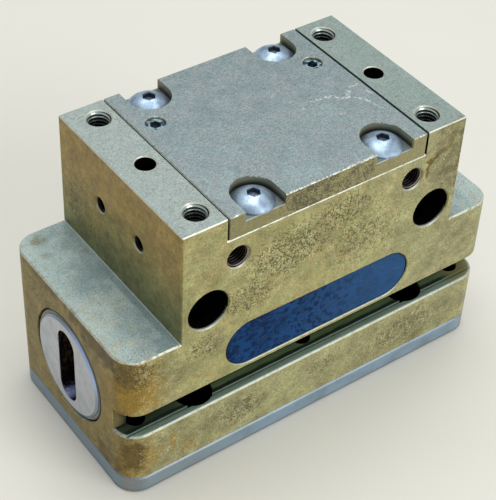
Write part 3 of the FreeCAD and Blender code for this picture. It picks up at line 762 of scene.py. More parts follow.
    def level_coat(self, shader: Shader, shape: BlockShape, mottle: Value) -> bpy.types.NodeSocket:
        """The paler coat of faces that look up, partly a painted sheen of the sky, with clouds on the ledges
        and a light line at their foot.

        Args:
            shader: the material.
            shape: the block, whose ledges differ from its top.
            mottle: noise that breaks the clouds up.

        Returns:
            The colour.
        """
        on_ledge = shape.below_waist(shader)
        cloud = shader.noise(self.ledge_clouds)
        fine = shader.noise(self.ledge_grain)
        outward = abs(shader.x) - shape.upper_half
        inner = abs(shader.x).fall(shape.upper_half, shape.base_half)
        # Painted light: the top is lighter at its left, darker towards the right.
        pale = shader.mix(shader.x.rise(*self.top_fade), self.level, self.level_right)
        pale = shader.mix(on_ledge, pale, self.ledge_pale)
        bluish = (cloud + inner.swing(0.14) + mottle.swing(0.15) + fine.swing(0.5)).rise(0.38, 0.84)
        pale = shader.mix(on_ledge * bluish * 0.8, pale, self.ledge_blue)
        brownish = (mottle - cloud.swing(0.8)).rise(0.54, 0.86)
        pale = shader.mix(on_ledge * brownish * 0.5, pale, self.ledge_brown)
        tanned = shader.noise(self.ledge_tanning).rise(0.46, 0.60) * shader.y.fall(*self.tan_front)
        pale = shader.mix(on_ledge * tanned * outward.rise(3.0, 8.0) * 0.45, pale, self.ledge_tan)
        pale = shader.mix(on_ledge * self.dried(shader, outward, mottle), pale, self.ledge_blue)
        return shader.mix(on_ledge * outward.fall(0.15, 0.5) * 0.6, pale, self.ledge_foot)

    def dried(self, shader: Shader, outward: Value, mottle: Value) -> Value:
        """Water marks on the ledges: a strip at the wall's foot, a puddle in front and crisp patches.

        Args:
            shader: the material.
            outward: the distance from the wall's foot.
            mottle: noise that makes the edges ragged.

        Returns:
            The share of the marks.
        """
        fade = 0.15 + 0.55 * shader.y.fall(*self.strip_fade)
        strip = (outward + mottle.swing(2.0)).fall(1.6, 2.4) * fade
        in_front = (shader.y + mottle.swing(2.0)).fall(*self.puddle_front)
        left_front = in_front * shader.x.fall(*self.puddle_left)
        puddle = (outward + mottle.swing(4.0)).fall(4.6, 5.4) * left_front
        patches = shader.noise(self.water_marks).rise(0.500, 0.535) * outward.fall(7.0, 13.0)
        return strip.most(puddle * 0.75).most(patches * 0.32)

    def rubbed(self, shader: Shader, shape: BlockShape, depth: Value) -> Value:
        """Where sloping edges are bright: worn metal, with painted highlight on the edges that face up and
        forward.

        Args:
            shader: the material.
            shape: the block whose edges they are.
            depth: how far a point lies inside the block.

        Returns:
            The share of worn metal and painted highlight, most on edges that look up and forward, less on the
            ends and low down.
        """
        forward = (-shader.facing_y).rise(0.2, 0.6)
        above_ends = shader.z.rise(shape.ledge - 2.0, shape.ledge - 1.0)
        sideways = 0.55 * abs(shader.facing_x).rise(0.3, 0.6) * above_ends
        uneven = shader.noise(self.edge_wear).rise(0.30, 0.52)
        ledge = abs(shader.z - shape.ledge).fall(0.6, 0.8)
        height = 0.42 + 0.58 * shader.z.rise(*self.rubbed_above) + 0.3 * ledge
        mouths = (shape.top - shader.z).fall(0.4, 0.5) * (shape.half_depth - abs(shader.y)).rise(0.8, 1.0)
        lit = forward.most(sideways).most(mouths * 0.6) * height * (1.0 - ledge * (1.1 - uneven))
        edge = shape.chamfer(shader) * shader.facing_z.rise(0.15, 0.6) * depth.fall(0.95, 1.2)
        return edge * lit * (0.45 + 0.55 * uneven)

    def groove_lining(self, shader: Shader, shape: BlockShape) -> bpy.types.NodeSocket:
        """The sensor groove, in painted light and shade: a lit grey-green lip and floor, painted shade behind
        the lip and at the back, darker towards the left, highlight lines along the edges, and lit, browner
        ends.

        Args:
            shader: the material.
            shape: the block that the groove is cut in.

        Returns:
            The colour.
        """
        inward = shader.y + shape.half_depth
        lip, slot = shape.groove_lip, shape.groove_lip + shape.groove_undercut
        dirt = shader.noise(self.groove_dirt)
        ragged = inward + dirt.swing(0.9)
        # Painted shade behind the lip and at the back, with a dimly lit floor between that grows darker
        # towards the left end.
        coat = shader.mix(ragged.rise(slot - 0.2, slot + 0.3), self.groove_lip, self.groove_dark)
        behind = ragged.rise(slot + 0.9, slot + 1.5) * (0.25 + 0.75 * shader.x.rise(*self.groove_lit))
        coat = shader.mix(behind, coat, self.groove_floor)
        coat = shader.mix(ragged.rise(*self.groove_back), coat, self.groove_dark)
        coat = shader.shade(coat, 0.40 + shader.noise(self.groove_streaks) * 1.2)
        # Painted highlights along the edges of the lip and of the undercut.
        lines = abs(inward - lip).fall(0.05, 0.25).most(abs(inward - slot).fall(0.05, 0.25))
        coat = shader.mix(lines * dirt.rise(0.25, 0.5) * 0.6, coat, self.groove_line)
        # Painted shade along the back wall, with a lit, browner left end; the right end is lit and browner
        # too.
        back = abs(shader.facing_y).rise(0.6, 0.9) * inward.rise(slot + 1.0, slot + 2.0)
        lit = (shader.z - shape.groove_middle + dirt.swing(3.0)).rise(-1.5, 1.0)
        coat = shader.mix(back * lit * shader.x.rise(*self.groove_wall_lit), coat, self.groove_wall)
        right_end = shader.x.rise(shape.base_half - 12.0, shape.base_half - 7.0)
        coat = shader.mix(right_end * 0.85, coat, self.groove_end)
        left_end = (dirt.swing(3.0) - shader.x).rise(shape.base_half - 4.0, shape.base_half - 1.0)
        coat = shader.mix(back * (1.0 - left_end), coat, self.groove_dark)
        return shader.mix(back * left_end, coat, self.groove_left)

    def seam_wall(self, shader: Shader, shape: BlockShape, seam: float) -> Value:
        """1 on the walls beside the cover, below their top edge, which take painted shade."""
        beside = abs(abs(shader.x) - seam).fall(0.05, 0.15) * abs(shader.facing_x).rise(0.6, 0.9)
        return beside * (shape.top - shader.z).rise(0.0, 0.2)

    def material(self, shape: BlockShape, seam: float) -> bpy.types.Material:
        """Builds the material.

        Args:
            shape: the block whose faces and hollows it tells apart.
            seam: the distance of the cover's seams from the middle.

        Returns:
            The material.
        """
        shader = Shader(self.name)
        mottle = shader.noise(self.mottle)
        patchy = shader.noise(self.patches)
        grain = shader.noise(self.grain)
        pits = shader.noise(self.pit_grain) + shader.noise(self.pit_clusters).swing(0.55)
        depth = shape.depth(shader)
        level = shader.facing_z.rise(0.55, 0.9)

        coat = self.upright_coat(shader, shape, mottle)
        # Faces that look up take the paler coat: partly their own finish, partly a painted sheen; the gold of
        # upright faces is partly a painted reflection.
        coat = shader.mix(level, coat, self.level_coat(shader, shape, mottle))
        coat = self.stained(shader, coat, mottle)
        speckle = self.marks(shader, Mark.SPECKLE, mottle)
        density = speckle * 0.10 + (mottle + patchy - 2.0 * NOISE_MIDDLE) * 0.25 - level * 0.06
        pitted = (pits + density).rise(0.57, 0.68) * (0.45 + 0.55 * speckle)
        in_front = abs(shader.facing_y).rise(0.8, 0.97)
        flecked = (NOISE_MIDDLE - pits + density * 0.4).rise(0.08, 0.18) * in_front * 0.5
        coat = shader.mix(flecked, coat, self.fleck)
        coat = shader.mix(pitted * 0.85, coat, self.pit)
        on_top = level * (1.0 - shape.below_waist(shader))
        roughened = self.handled(shader).most(speckle) * (1.0 - on_top)
        blotched = (0.4 + abs(shader.facing_x).rise(0.5, 0.9) * 0.7) * (1.0 - level)
        uneven = grain.swing(1.3 + roughened * 0.4) + mottle.swing(blotched)
        coat = shader.shade(coat, 1.0 + uneven + patchy.swing(1.2 - level * 0.9))

        # Worn metal on the sloping edges, with painted highlight where they face up and forward.
        bare_and_highlit = self.rubbed(shader, shape, depth)
        coat = shader.mix(bare_and_highlit * 0.9, coat, self.worn)
        # Painted shade: a dark line along the block's foot, where it meets the plate.
        coat = shader.mix(shader.z.fall(*shape.foot) * 0.6, coat, self.grime)
        groove = shape.groove(shader)
        # Painted shade inside holes and on the seam walls: near-black, or in the groove its painted light and
        # shade.
        hollow_light_and_shade = shader.mix(groove, self.hollow, self.groove_lining(shader, shape))
        mouth = shape.mouth(shader)
        wall = abs(shader.facing_z).fall(0.25, 0.4) * depth.rise(0.16, 0.3) * (1.0 - mouth)
        seam_wall = self.seam_wall(shader, shape, seam)
        shaded_hollow = (depth - mouth * 1.2).rise(0.42, 0.9).most(wall).most(seam_wall)
        coat = shader.mix(shaded_hollow, coat, hollow_light_and_shade)
        # Painted shade in the seams beside the cover: near-black deep down, a dim painted light just below
        # the top edge.
        coat = shader.mix(seam_wall * (shape.top - shader.z).fall(*self.seam_lit), coat, self.seam_dim)

        rough = self.roughness + grain.swing(0.3) + pitted * 0.15 - bare_and_highlit * 0.1 + shaded_hollow * 0.35
        metal = 0.2 + bare_and_highlit * 0.4 + shaded_hollow * (0.8 - groove)
        height = grain * 0.8 - pitted * 0.5 + mottle * 0.3
        normal = shader.bump(height, 0.35, 0.05)
        return shader.close(
            Base_Color=coat, Roughness=rough, Metallic=metal, Specular_IOR_Level=0.25, Normal=normal
        )


@dataclass(frozen=True)
class CoverFinish:
    """The cylinder cover's anodised plate: grey on top with fine grain and scrapes, olive in front."""

    name: str = "anodised_cover"
    top: Triple = (0.288, 0.362, 0.364)
    top_dull: Triple = (0.212, 0.270, 0.276)
    top_warm: Triple = (0.272, 0.312, 0.318)
    front: Triple = (0.275, 0.248, 0.108)
    pit: Triple = (0.060, 0.052, 0.024)
    worn: Triple = BARE_METAL
    scrape: Triple = (0.84, 0.89, 0.87)
    hollow: Triple = HOLLOW_SHADE
    # The screw notches' wall and floor in painted shade.
    notch_wall: Triple = (0.190, 0.196, 0.130)
    notch_low: Triple = (0.035, 0.033, 0.022)
    seam_dim: Triple = (0.075, 0.130, 0.130)
    scrapes: tuple[Stroke, ...] = COVER_SCRAPES

    grain: Cloud = Cloud(0.36)
    streaks: Cloud = Cloud(0.30, stretch=(6.0, 1.0, 1.0))
    mottle: Cloud = Cloud(1.8, 5.0, shift=(5.0, 9.0, 2.0))
    dulling: Cloud = Cloud(11.0, 4.0)
    warming: Cloud = Cloud(4.0, 4.0, shift=(20.0, 0.0, 3.0))
    pits: Cloud = Cloud(0.45, 4.0)
    nicks: Cloud = Cloud(0.7, 4.0)
    scrape_edge: Cloud = Cloud(0.8, 4.0, shift=(1.0, 3.0, 0.0))
    scrape_gaps: Cloud = Cloud(0.45, 4.0, shift=(7.0, 0.0, 0.0))

    dull_from: Step = (-28.0, -8.0)
    smeared_to: Step = (10.0, 16.0)
    notch_depth: Step = (0.5, 2.2)
    notch_floor: Step = (1.0, 1.5)
    seam_lit: Step = (0.8, 2.0)

    def plate(self, shader: Shader, grain: Value, streak: Value, mottle: Value) -> bpy.types.NodeSocket:
        """The grey of the top: clouds that are duller to the right and back, warm patches and fine grain.

        Args:
            shader: the material.
            grain: fine noise.
            streak: fine noise drawn out along the cover.
            mottle: noise that breaks the clouds up.

        Returns:
            The colour.
        """
        duller = shader.noise(self.dulling) + mottle.swing(0.5) + shader.x.rise(*self.dull_from) * 0.17
        plate = shader.mix((duller + shader.y * 0.006).rise(0.30, 0.84), self.top, self.top_dull)
        plate = shader.mix(shader.noise(self.warming).rise(0.40, 0.60) * 0.8, plate, self.top_warm)
        return shader.shade(plate, 1.0 + grain.swing(1.6) + streak.swing(0.8))

    def face(self, shader: Shader, grain: Value, mottle: Value) -> bpy.types.NodeSocket:
        """The olive of the front, smeared dark about the middle.

        Args:
            shader: the material.
            grain: fine noise.
            mottle: noise that breaks the smears up.

        Returns:
            The colour.
        """
        middle = 0.3 + 0.7 * abs(shader.x).fall(*self.smeared_to)
        smeared = (shader.noise(self.pits) + mottle.swing(0.6) - shader.x * 0.004).rise(0.42, 0.60)
        return shader.shade(shader.mix(smeared * middle * 0.85, self.front, self.pit), 0.4 + grain * 1.2)

    def rim(self, shader: Shader, drop: Value) -> Value:
        """Where the edge round the top is bright: nicks of worn metal along the front and faintly elsewhere,
        with painted highlight on edges that face forward.

        Args:
            shader: the material.
            drop: the distance below the top.

        Returns:
            The share of worn metal and painted highlight.
        """
        forward = (-shader.facing_y).rise(0.2, 0.6)
        nicks = shader.noise(self.nicks).rise(0.38, 0.62)
        return shader.sloping() * drop.fall(0.3, 0.4) * (0.3 + 0.7 * forward) * nicks

    def material(self, half_length: float, half_depth: float, top: float) -> bpy.types.Material:
        """Builds the material.

        Args:
            half_length: half the cover's length between its seams.
            half_depth: half its depth.
            top: the height of its top face.

        Returns:
            The material.
        """
        shader = Shader(self.name)
        grain = shader.noise(self.grain)
        streak = shader.noise(self.streaks)
        mottle = shader.noise(self.mottle)
        level = shader.facing_z.rise(0.5, 0.9)
        drop = top - shader.z
        from_front = half_depth - abs(shader.y)

        coat = shader.mix(level, self.face(shader, grain, mottle), self.plate(shader, grain, streak, mottle))
        # Painted shade in the screw notches: a dim wall, darker towards its foot, and a darkened floor beside
        # the heads.
        in_notch = from_front.rise(0.3, 0.8) * (1.0 - level) * drop.rise(0.1, 0.4)
        wall = shader.mix(drop.rise(*self.notch_depth), self.notch_wall, self.notch_low)
        coat = shader.mix(in_notch, coat, wall)
        # Painted shade in the seams at the cover's ends: near-black deep down, a dim painted light just below
        # the top edge.
        seam = (half_length - abs(shader.x)).fall(0.05, 0.2) * drop.rise(0.3, 0.6)
        coat = shader.mix(seam, coat, shader.mix(drop.fall(*self.seam_lit), self.hollow, self.seam_dim))
        floor = level * drop.rise(*self.notch_floor)
        coat = shader.mix(floor * 0.45, coat, self.notch_low)

        # Worn edges and scrapes, with painted highlight on forward edges and on the front edge of the notch
        # floors.
        rim = self.rim(shader, drop).most(floor * from_front.fall(0.12, 0.4) * 0.8)
        sway = shader.noise(self.scrape_edge).swing(STROKE_SWAY)
        broken = shader.noise(self.scrape_gaps).rise(0.40, 0.56)
        scraped = strongest([stroke.share(shader, sway) for stroke in self.scrapes]) * broken * level
        bare_and_highlit = rim.most(scraped)
        coat = shader.mix(bare_and_highlit * 0.85, coat, shader.mix(rim, self.scrape, self.worn))
        rough = 0.46 + grain.swing(0.2) - bare_and_highlit * 0.1
        normal = shader.bump(grain * 0.8 + streak * 0.5, 0.3, 0.05)
        return shader.close(Base_Color=coat, Roughness=rough, Metallic=0.2 + bare_and_highlit * 0.4, Normal=normal)


@dataclass(frozen=True)
class OilMask:
    """Painted shade in the sockets of upright screws that stand at the four or two places a symmetry gives.
    """

    at_x: float
    at_y: float
    fold_y: bool
    radius: float
    below: float
    facets: float
    floor: float

    def mask(self, shader: Shader) -> Value:
        """How much painted shade a socket gets: one share on its upright facets, another on its floor.

        Args:
            shader: the material.

        Returns:
            The share of painted shade within the radius of a screw's axis and below a height.
        """
        along = abs(shader.y) if self.fold_y else shader.y
        distance = span(abs(shader.x) - self.at_x, along - self.at_y)
        inside = distance.fall(self.radius, self.radius + 0.08) * shader.z.fall(self.below - 0.15, self.below)
        return inside * (self.facets + (self.floor - self.facets) * shader.facing_z.rise(0.5, 0.8))


@dataclass(frozen=True)
class SteelFinish:
    """Bright metal with machining lines, faint clouds, dark specks and painted shade in its sockets."""

    name: str
    tint: Triple
    tint_dark: Triple
    roughness: float = 0.26
    lines: Cloud = Cloud(0.2)
    clouds: Cloud = Cloud(2.2, 4.0, shift=(8.0, 4.0, 6.0))
    specks: Cloud = Cloud(0.35, shift=(1.0, 2.0, 40.0))
    line_depth: float = 0.12
    # The colour of dark specks, and of the painted shade in the sockets.
    oil: Triple = (0.030, 0.032, 0.038)

    def material(self, socket_shade: OilMask | None = None) -> bpy.types.Material:
        """Builds the material.

        Args:
            socket_shade: where painted shade darkens the sockets.

        Returns:
            The material.
        """
        shader = Shader(self.name)
        lines = shader.noise(self.lines)
        cloud = shader.noise(self.clouds)
        specks = shader.noise(self.specks).rise(0.66, 0.72)
        coat = shader.mix(cloud.rise(0.4, 0.62), self.tint, self.tint_dark)
        coat = shader.mix(specks * 0.7, coat, self.oil)
        coat = shader.shade(coat, 0.9 + lines * 0.2)
        rough = self.roughness + cloud.swing(0.25) + lines.swing(0.1)
        if socket_shade is not None:
            # Painted shade in the sockets.
            dark = socket_shade.mask(shader)
            coat = shader.mix(dark, coat, self.oil)
            rough = rough + dark * 0.1
        normal = shader.bump(lines, self.line_depth, 0.03)
        return shader.close(Base_Color=coat, Roughness=rough, Metallic=0.95 - specks * 0.3, Normal=normal)


@dataclass(frozen=True)
class SlideFinish:
    """Ground steel of the jaw slides: pale face with tiny scratches, a rim in painted bluish reflection, and
    a slot in painted shade.
    """

    name: str = "slide_steel"
    face: Triple = (0.495, 0.520, 0.560)
    face_dark: Triple = (0.420, 0.440, 0.475)
    # The chamfer's painted bluish reflection and its painted glint.
    rim: Triple = (0.25, 0.30, 0.40)
    rim_lit: Triple = (0.40, 0.55, 0.90)
    # Brown fibres in the slot, then its near-black painted shade and bluish painted shine.
    slot: Triple = (0.060, 0.038, 0.016)
    slot_dark: Triple = (0.002, 0.0015, 0.001)
    slot_shine: Triple = (0.36, 0.42, 0.74)
    slot_half_width: float = 3.7
    slot_half_height: float = 11.0
    chamfer: float = 0.5
    shine_low: Step = (-11.1, -9.3)
    shine_side: Step = (-1.4, 1.6)
    shine_depth: Step = (1.5, 5.0)

    grain: Cloud = Cloud(0.22, stretch=(1.0, 1.0, 7.0))
    clouds: Cloud = Cloud(4.0, 4.0)
    scratches: Cloud = Cloud(0.5, stretch=(1.0, 0.5, 4.0), shift=(0.0, 3.0, 1.0))
    fibres: Cloud = Cloud(0.7, 4.0, stretch=(1.0, 0.7, 2.5))
    glint: Cloud = Cloud(0.8, shift=(0.0, 5.0, 0.0))

    def slot_stain(self, shader: Shader, rise: Value, inset: Value) -> bpy.types.NodeSocket:
        """The slot in painted shade, near black, with brown fibres above and a painted shine on its lower
        end.

        Args:
            shader: the material.
            rise: the height above the slide's axis.
            inset: the distance inside the outer face.

        Returns:
            The colour.
        """
        fibres = shader.noise(self.fibres).rise(0.50, 0.58) * rise.rise(-7.0, -2.0)
        stain = shader.mix(fibres * 0.7, self.slot_dark, self.slot)
        # Painted reflection: a bluish shine on the slot's lower end.
        low = (rise + shader.noise(self.glint).swing(3.0)).fall(*self.shine_low)
        shine = low * shader.y.rise(*self.shine_side) * inset.fall(*self.shine_depth)
        return shader.mix(shine, stain, self.slot_shine)

    def material(self, axis_height: float, radius: float, face_at: float) -> bpy.types.Material:
        """Builds the material.

        Args:
            axis_height: the height of the slide's axis.
            radius: the slide's radius.
            face_at: the distance of the slide's outer face from the middle.

        Returns:
            The material.
        """
        shader = Shader(self.name)
        rise = shader.z - axis_height
        away = span(shader.y, rise)
        inset = face_at - abs(shader.x)
        fine = shader.noise(self.grain)
        cloud = shader.noise(self.clouds)
        scratch = shader.noise(self.scratches).rise(0.66, 0.70)
        coat = shader.mix(cloud.rise(0.38, 0.7), self.face, self.face_dark)
        coat = shader.mix(scratch * 0.55, coat, self.slot)
        coat = shader.shade(coat, 0.80 + fine * 0.40)
        near_edge = (away - (radius - self.chamfer)).rise(-0.1, 0.05)
        slope = near_edge * inset.fall(self.chamfer, self.chamfer + 0.1)
        # Painted reflection: the chamfer round the face is bluish, with a brighter painted glint towards its
        # upper front.
        lit = ((rise - shader.y) / away).rise(0.95, 1.4)
        coat = shader.mix(slope * 0.8, coat, shader.mix(lit, self.rim, self.rim_lit))
        half_width = self.slot_half_width
        across = stadium(rise, shader.y, self.slot_half_height, half_width)
        # The slot takes its painted shade and shine.
        in_slot = across.fall(half_width + 0.03, half_width + 0.12) * inset.rise(0.05, 0.2)
        coat = shader.mix(in_slot, coat, self.slot_stain(shader, rise, inset))
        rough = 0.34 + cloud.swing(0.2) + fine.swing(0.08) + in_slot * 0.3
        metal = 0.7 - scratch * 0.3 - in_slot * 0.7
        normal = shader.bump(fine, 0.1, 0.03)
        return shader.close(
            Base_Color=coat, Roughness=rough, Metallic=metal, Specular_IOR_Level=0.1, Normal=normal
        )


@dataclass(frozen=True)
class PlateFinish:
    """The bottom plate's smooth blue-grey coat, with a painted reflection on its front and painted shade
    along its lower edge.
    """

    name: str = "plate_aluminium"
    coat: Triple = (0.205, 0.275, 0.345)
    front: Triple = (0.255, 0.360, 0.462)
    front_left: Triple = (0.245, 0.310, 0.355)
    dull: Triple = (0.180, 0.235, 0.280)
    low: Triple = (0.10, 0.12, 0.125)
    corner: Triple = (0.235, 0.225, 0.205)
    worn: Triple = (0.30, 0.37, 0.41)
    front_fade: Step = (-40.0, -8.0)
    low_edge: Step = (0.2, 1.2)
    worn_edge: Step = (-0.45, -0.1)

    clouds: Cloud = Cloud(7.0, 4.0)
    grain: Cloud = Cloud(0.3, 2.0, stretch=(6.0, 6.0, 1.0))
    spots: Cloud = Cloud(0.9, shift=(4.0, 1.0, 0.0))

    def material(self, thickness: float) -> bpy.types.Material:
        """Builds the material.

        Args:
            thickness: the height of the plate's upper face.

        Returns:
            The material.
        """
        shader = Shader(self.name)
        cloud = shader.noise(self.clouds)
        fine = shader.noise(self.grain)
        spots = shader.noise(self.spots).rise(0.66, 0.74)
        # Painted reflection: the front is lighter and bluer than the sides, greyer and darker towards the
        # left end.
        front = shader.mix(shader.x.rise(*self.front_fade), self.front_left, self.front)
        coat = shader.mix(abs(shader.facing_y).rise(0.3, 0.9), self.coat, front)
        round_corner = abs(shader.facing_x).rise(0.1, 0.4) * abs(shader.facing_y).rise(0.2, 0.5)
        coat = shader.mix(round_corner * 0.7, coat, self.corner)
        coat = shader.mix(cloud.rise(0.4, 0.75) * 0.7, coat, self.dull)
        # Painted shade along the foot, where the plate meets the floor; the same dark colour marks real spots
        # below.
        coat = shader.mix(shader.z.fall(*self.low_edge) * 0.7, coat, self.low)
        coat = shader.mix((shader.z - thickness).rise(*self.worn_edge) * 0.6, coat, self.worn)
        coat = shader.mix(spots * 0.4, coat, self.low)
        coat = shader.shade(coat, 0.92 + fine * 0.16)
        rough = 0.38 + cloud.swing(0.2)
        normal = shader.bump(fine, 0.1, 0.03)
        return shader.close(Base_Color=coat, Roughness=rough, Metallic=0.35, Normal=normal)


@dataclass(frozen=True)
class LabelFinish:
    """Blue anodised name plate with darker blots, pale scratches and a painted shadow round its edge."""

    name: str = "label_blue"
    blue: Triple = (0.005, 0.046, 0.158)
    deep: Triple = (0.001, 0.014, 0.058)
    pale: Triple = (0.034, 0.102, 0.235)
    # Painted shadow round the plate's edge.
    outline: Triple = (0.003, 0.006, 0.014)
    scratch: Triple = (0.24, 0.29, 0.36)
    pale_fade: Step = (-22.0, 18.0)
    blot_fade: Step = (-8.0, 24.0)
    spot_fade: Step = (0.0, 20.0)

    mottle: Cloud = Cloud(0.9, 5.0)
    clouds: Cloud = Cloud(8.0, shift=(2.0, 0.0, 9.0))
    grain: Cloud = Cloud(0.3, 2.0)
    blots: Cloud = Cloud(1.7, 7.0, shift=(17.0, 0.0, 4.0))
    scratches: Cloud = Cloud(0.35, stretch=(10.0, 1.0, 1.0), shift=(0.0, 0.0, 2.0))

    def material(self, half_length: float, half_height: float, middle: float) -> bpy.types.Material:
        """Builds the material.

        Args:
            half_length: half the plate's length, round ends included.
            half_height: half its height, which is the radius of its ends.
            middle: the height of its centre line.

        Returns:
            The material.
        """
        shader = Shader(self.name)
        mottle = shader.noise(self.mottle)
        deeper = (mottle + shader.noise(self.clouds) - NOISE_MIDDLE).rise(0.34, 0.62)
        coat = shader.mix(deeper, self.deep, self.blue)
        coat = shader.mix(shader.x.rise(*self.pale_fade) * 0.54, coat, self.pale)
        blots = shader.noise(self.blots).rise(0.52, 0.57) * shader.x.fall(*self.blot_fade)
        coat = shader.mix(blots * 0.85, coat, self.deep)
        spots = (NOISE_MIDDLE - mottle).rise(0.06, 0.16) * shader.x.fall(*self.spot_fade)
        coat = shader.mix(spots * 0.35, coat, self.pale)
        coat = shader.mix(shader.noise(self.scratches).rise(0.70, 0.75) * 0.3, coat, self.scratch)
        away = stadium(shader.x, shader.z - middle, half_length, half_height)
        # Painted shadow along the edge of the recess, all round the plate.
        coat = shader.mix(away.rise(half_height - 0.3, half_height - 0.05), coat, self.outline)
        rough = 0.46 + mottle.swing(0.3)
        normal = shader.bump(shader.noise(self.grain) + mottle, 0.12, 0.03)
        return shader.close(Base_Color=coat, Roughness=rough, Specular_IOR_Level=0.05, Normal=normal)


@dataclass(frozen=True)
class SoftFinish:
    """Rubber, plastic or bronze: a coloured body with dust and a fine surface."""

    name: str
    body: Triple
    dust: Triple
    roughness: float = 0.7
    metallic: float = 0.0
    clouds: Cloud = Cloud(3.0, 4.0)
    grain: Cloud = Cloud(0.35)

    def material(self) -> bpy.types.Material:
        """Builds the material.

        Returns:
            The material.
        """
        shader = Shader(self.name)
        grain = shader.noise(self.grain)
        dusty = (shader.noise(self.clouds) + grain * 0.4).rise(0.55, 0.95)
        coat = shader.mix(dusty, self.body, self.dust)
        rough = self.roughness + grain.swing(0.2)
        normal = shader.bump(grain, 0.15, 0.03)
        return shader.close(Base_Color=coat, Roughness=rough, Metallic=self.metallic, Normal=normal)


def rubber(name: str) -> SoftFinish:
    """Black sealing rubber, greyed by dust."""
    return SoftFinish(name, (0.02, 0.02, 0.02), (0.05, 0.05, 0.045))


def bronze(name: str) -> SoftFinish:
    """Bearing bronze, dulled by oil."""
    return SoftFinish(name, (0.50, 0.33, 0.14), (0.36, 0.24, 0.11), 0.35, 0.9)


@dataclass(frozen=True)
class WiperFinish:
    """Grey-green wiper ring, dusty on its face, with a painted shadow where it meets the bore, widest at the
    top front.
    """

    name: str
    face: Triple = (0.150, 0.165, 0.135)
    dust: Triple = (0.215, 0.230, 0.200)
    # Painted shadow where the ring meets the bore.
    gap: Triple = (0.004, 0.004, 0.004)
    gap_width: Step = (-0.62, -0.3)
    shadow_width: float = 0.6
    clouds: Cloud = Cloud(2.0, 4.0)

    def material(self, axis_height: float, radius: float) -> bpy.types.Material:
        """Builds the material.

        Args:
            axis_height: the height of the slide's axis.
            radius: the ring's outer radius.

        Returns:
            The material.
        """
        shader = Shader(self.name)
        rise = shader.z - axis_height
        away = span(shader.y, rise)
        cloud = shader.noise(self.clouds)
        coat = shader.mix(cloud.rise(0.4, 0.65), self.face, self.dust)
        # Painted shadow: the proud slide shades the ring's outer edge, most at the top front.
        shadow = ((rise - shader.y) / away).rise(0.2, 1.2) * self.shadow_width
        coat = shader.mix((away - radius + shadow).rise(*self.gap_width), coat, self.gap)
        normal = shader.bump(cloud, 0.1, 0.03)
        return shader.close(Base_Color=coat, Roughness=0.5 + cloud.swing(0.3), Normal=normal)


@dataclass(frozen=True)
class ThreadFinish:
    """Cut thread in painted light and shade: lit flanks and crests, shaded roots, and painted shade deepening
    between two distances from the mouth.
    """

    name: str
    # The lit crest colour and the shaded root colour, as painted light and shade.
    crest: Triple
    root: Triple
    darkening: Step
    chatter: Cloud = Cloud(0.3)

    def material(self) -> bpy.types.Material:
        """Builds the material, which reads the crest and the distance from the mouth off the mesh.

        Returns:
            The material.
        """
        shader = Shader(self.name)
        chatter = shader.noise(self.chatter)
        # Painted light on the crests, painted shade in the roots and deeper in the hole.
        lit = shader.attribute("crest").rise(0.25, 0.95) * (0.7 + chatter * 0.6)
        coat = shader.mix(lit, self.root, self.crest)
        coat = shader.mix(shader.attribute("inward").rise(*self.darkening) * 0.93, coat, self.root)
        rough = 0.28 + chatter.swing(0.2)
        normal = shader.bump(chatter, 0.1, 0.02)
        return shader.close(
            Base_Color=coat, Roughness=rough, Metallic=0.75, Specular_IOR_Level=0.15, Normal=normal
        )


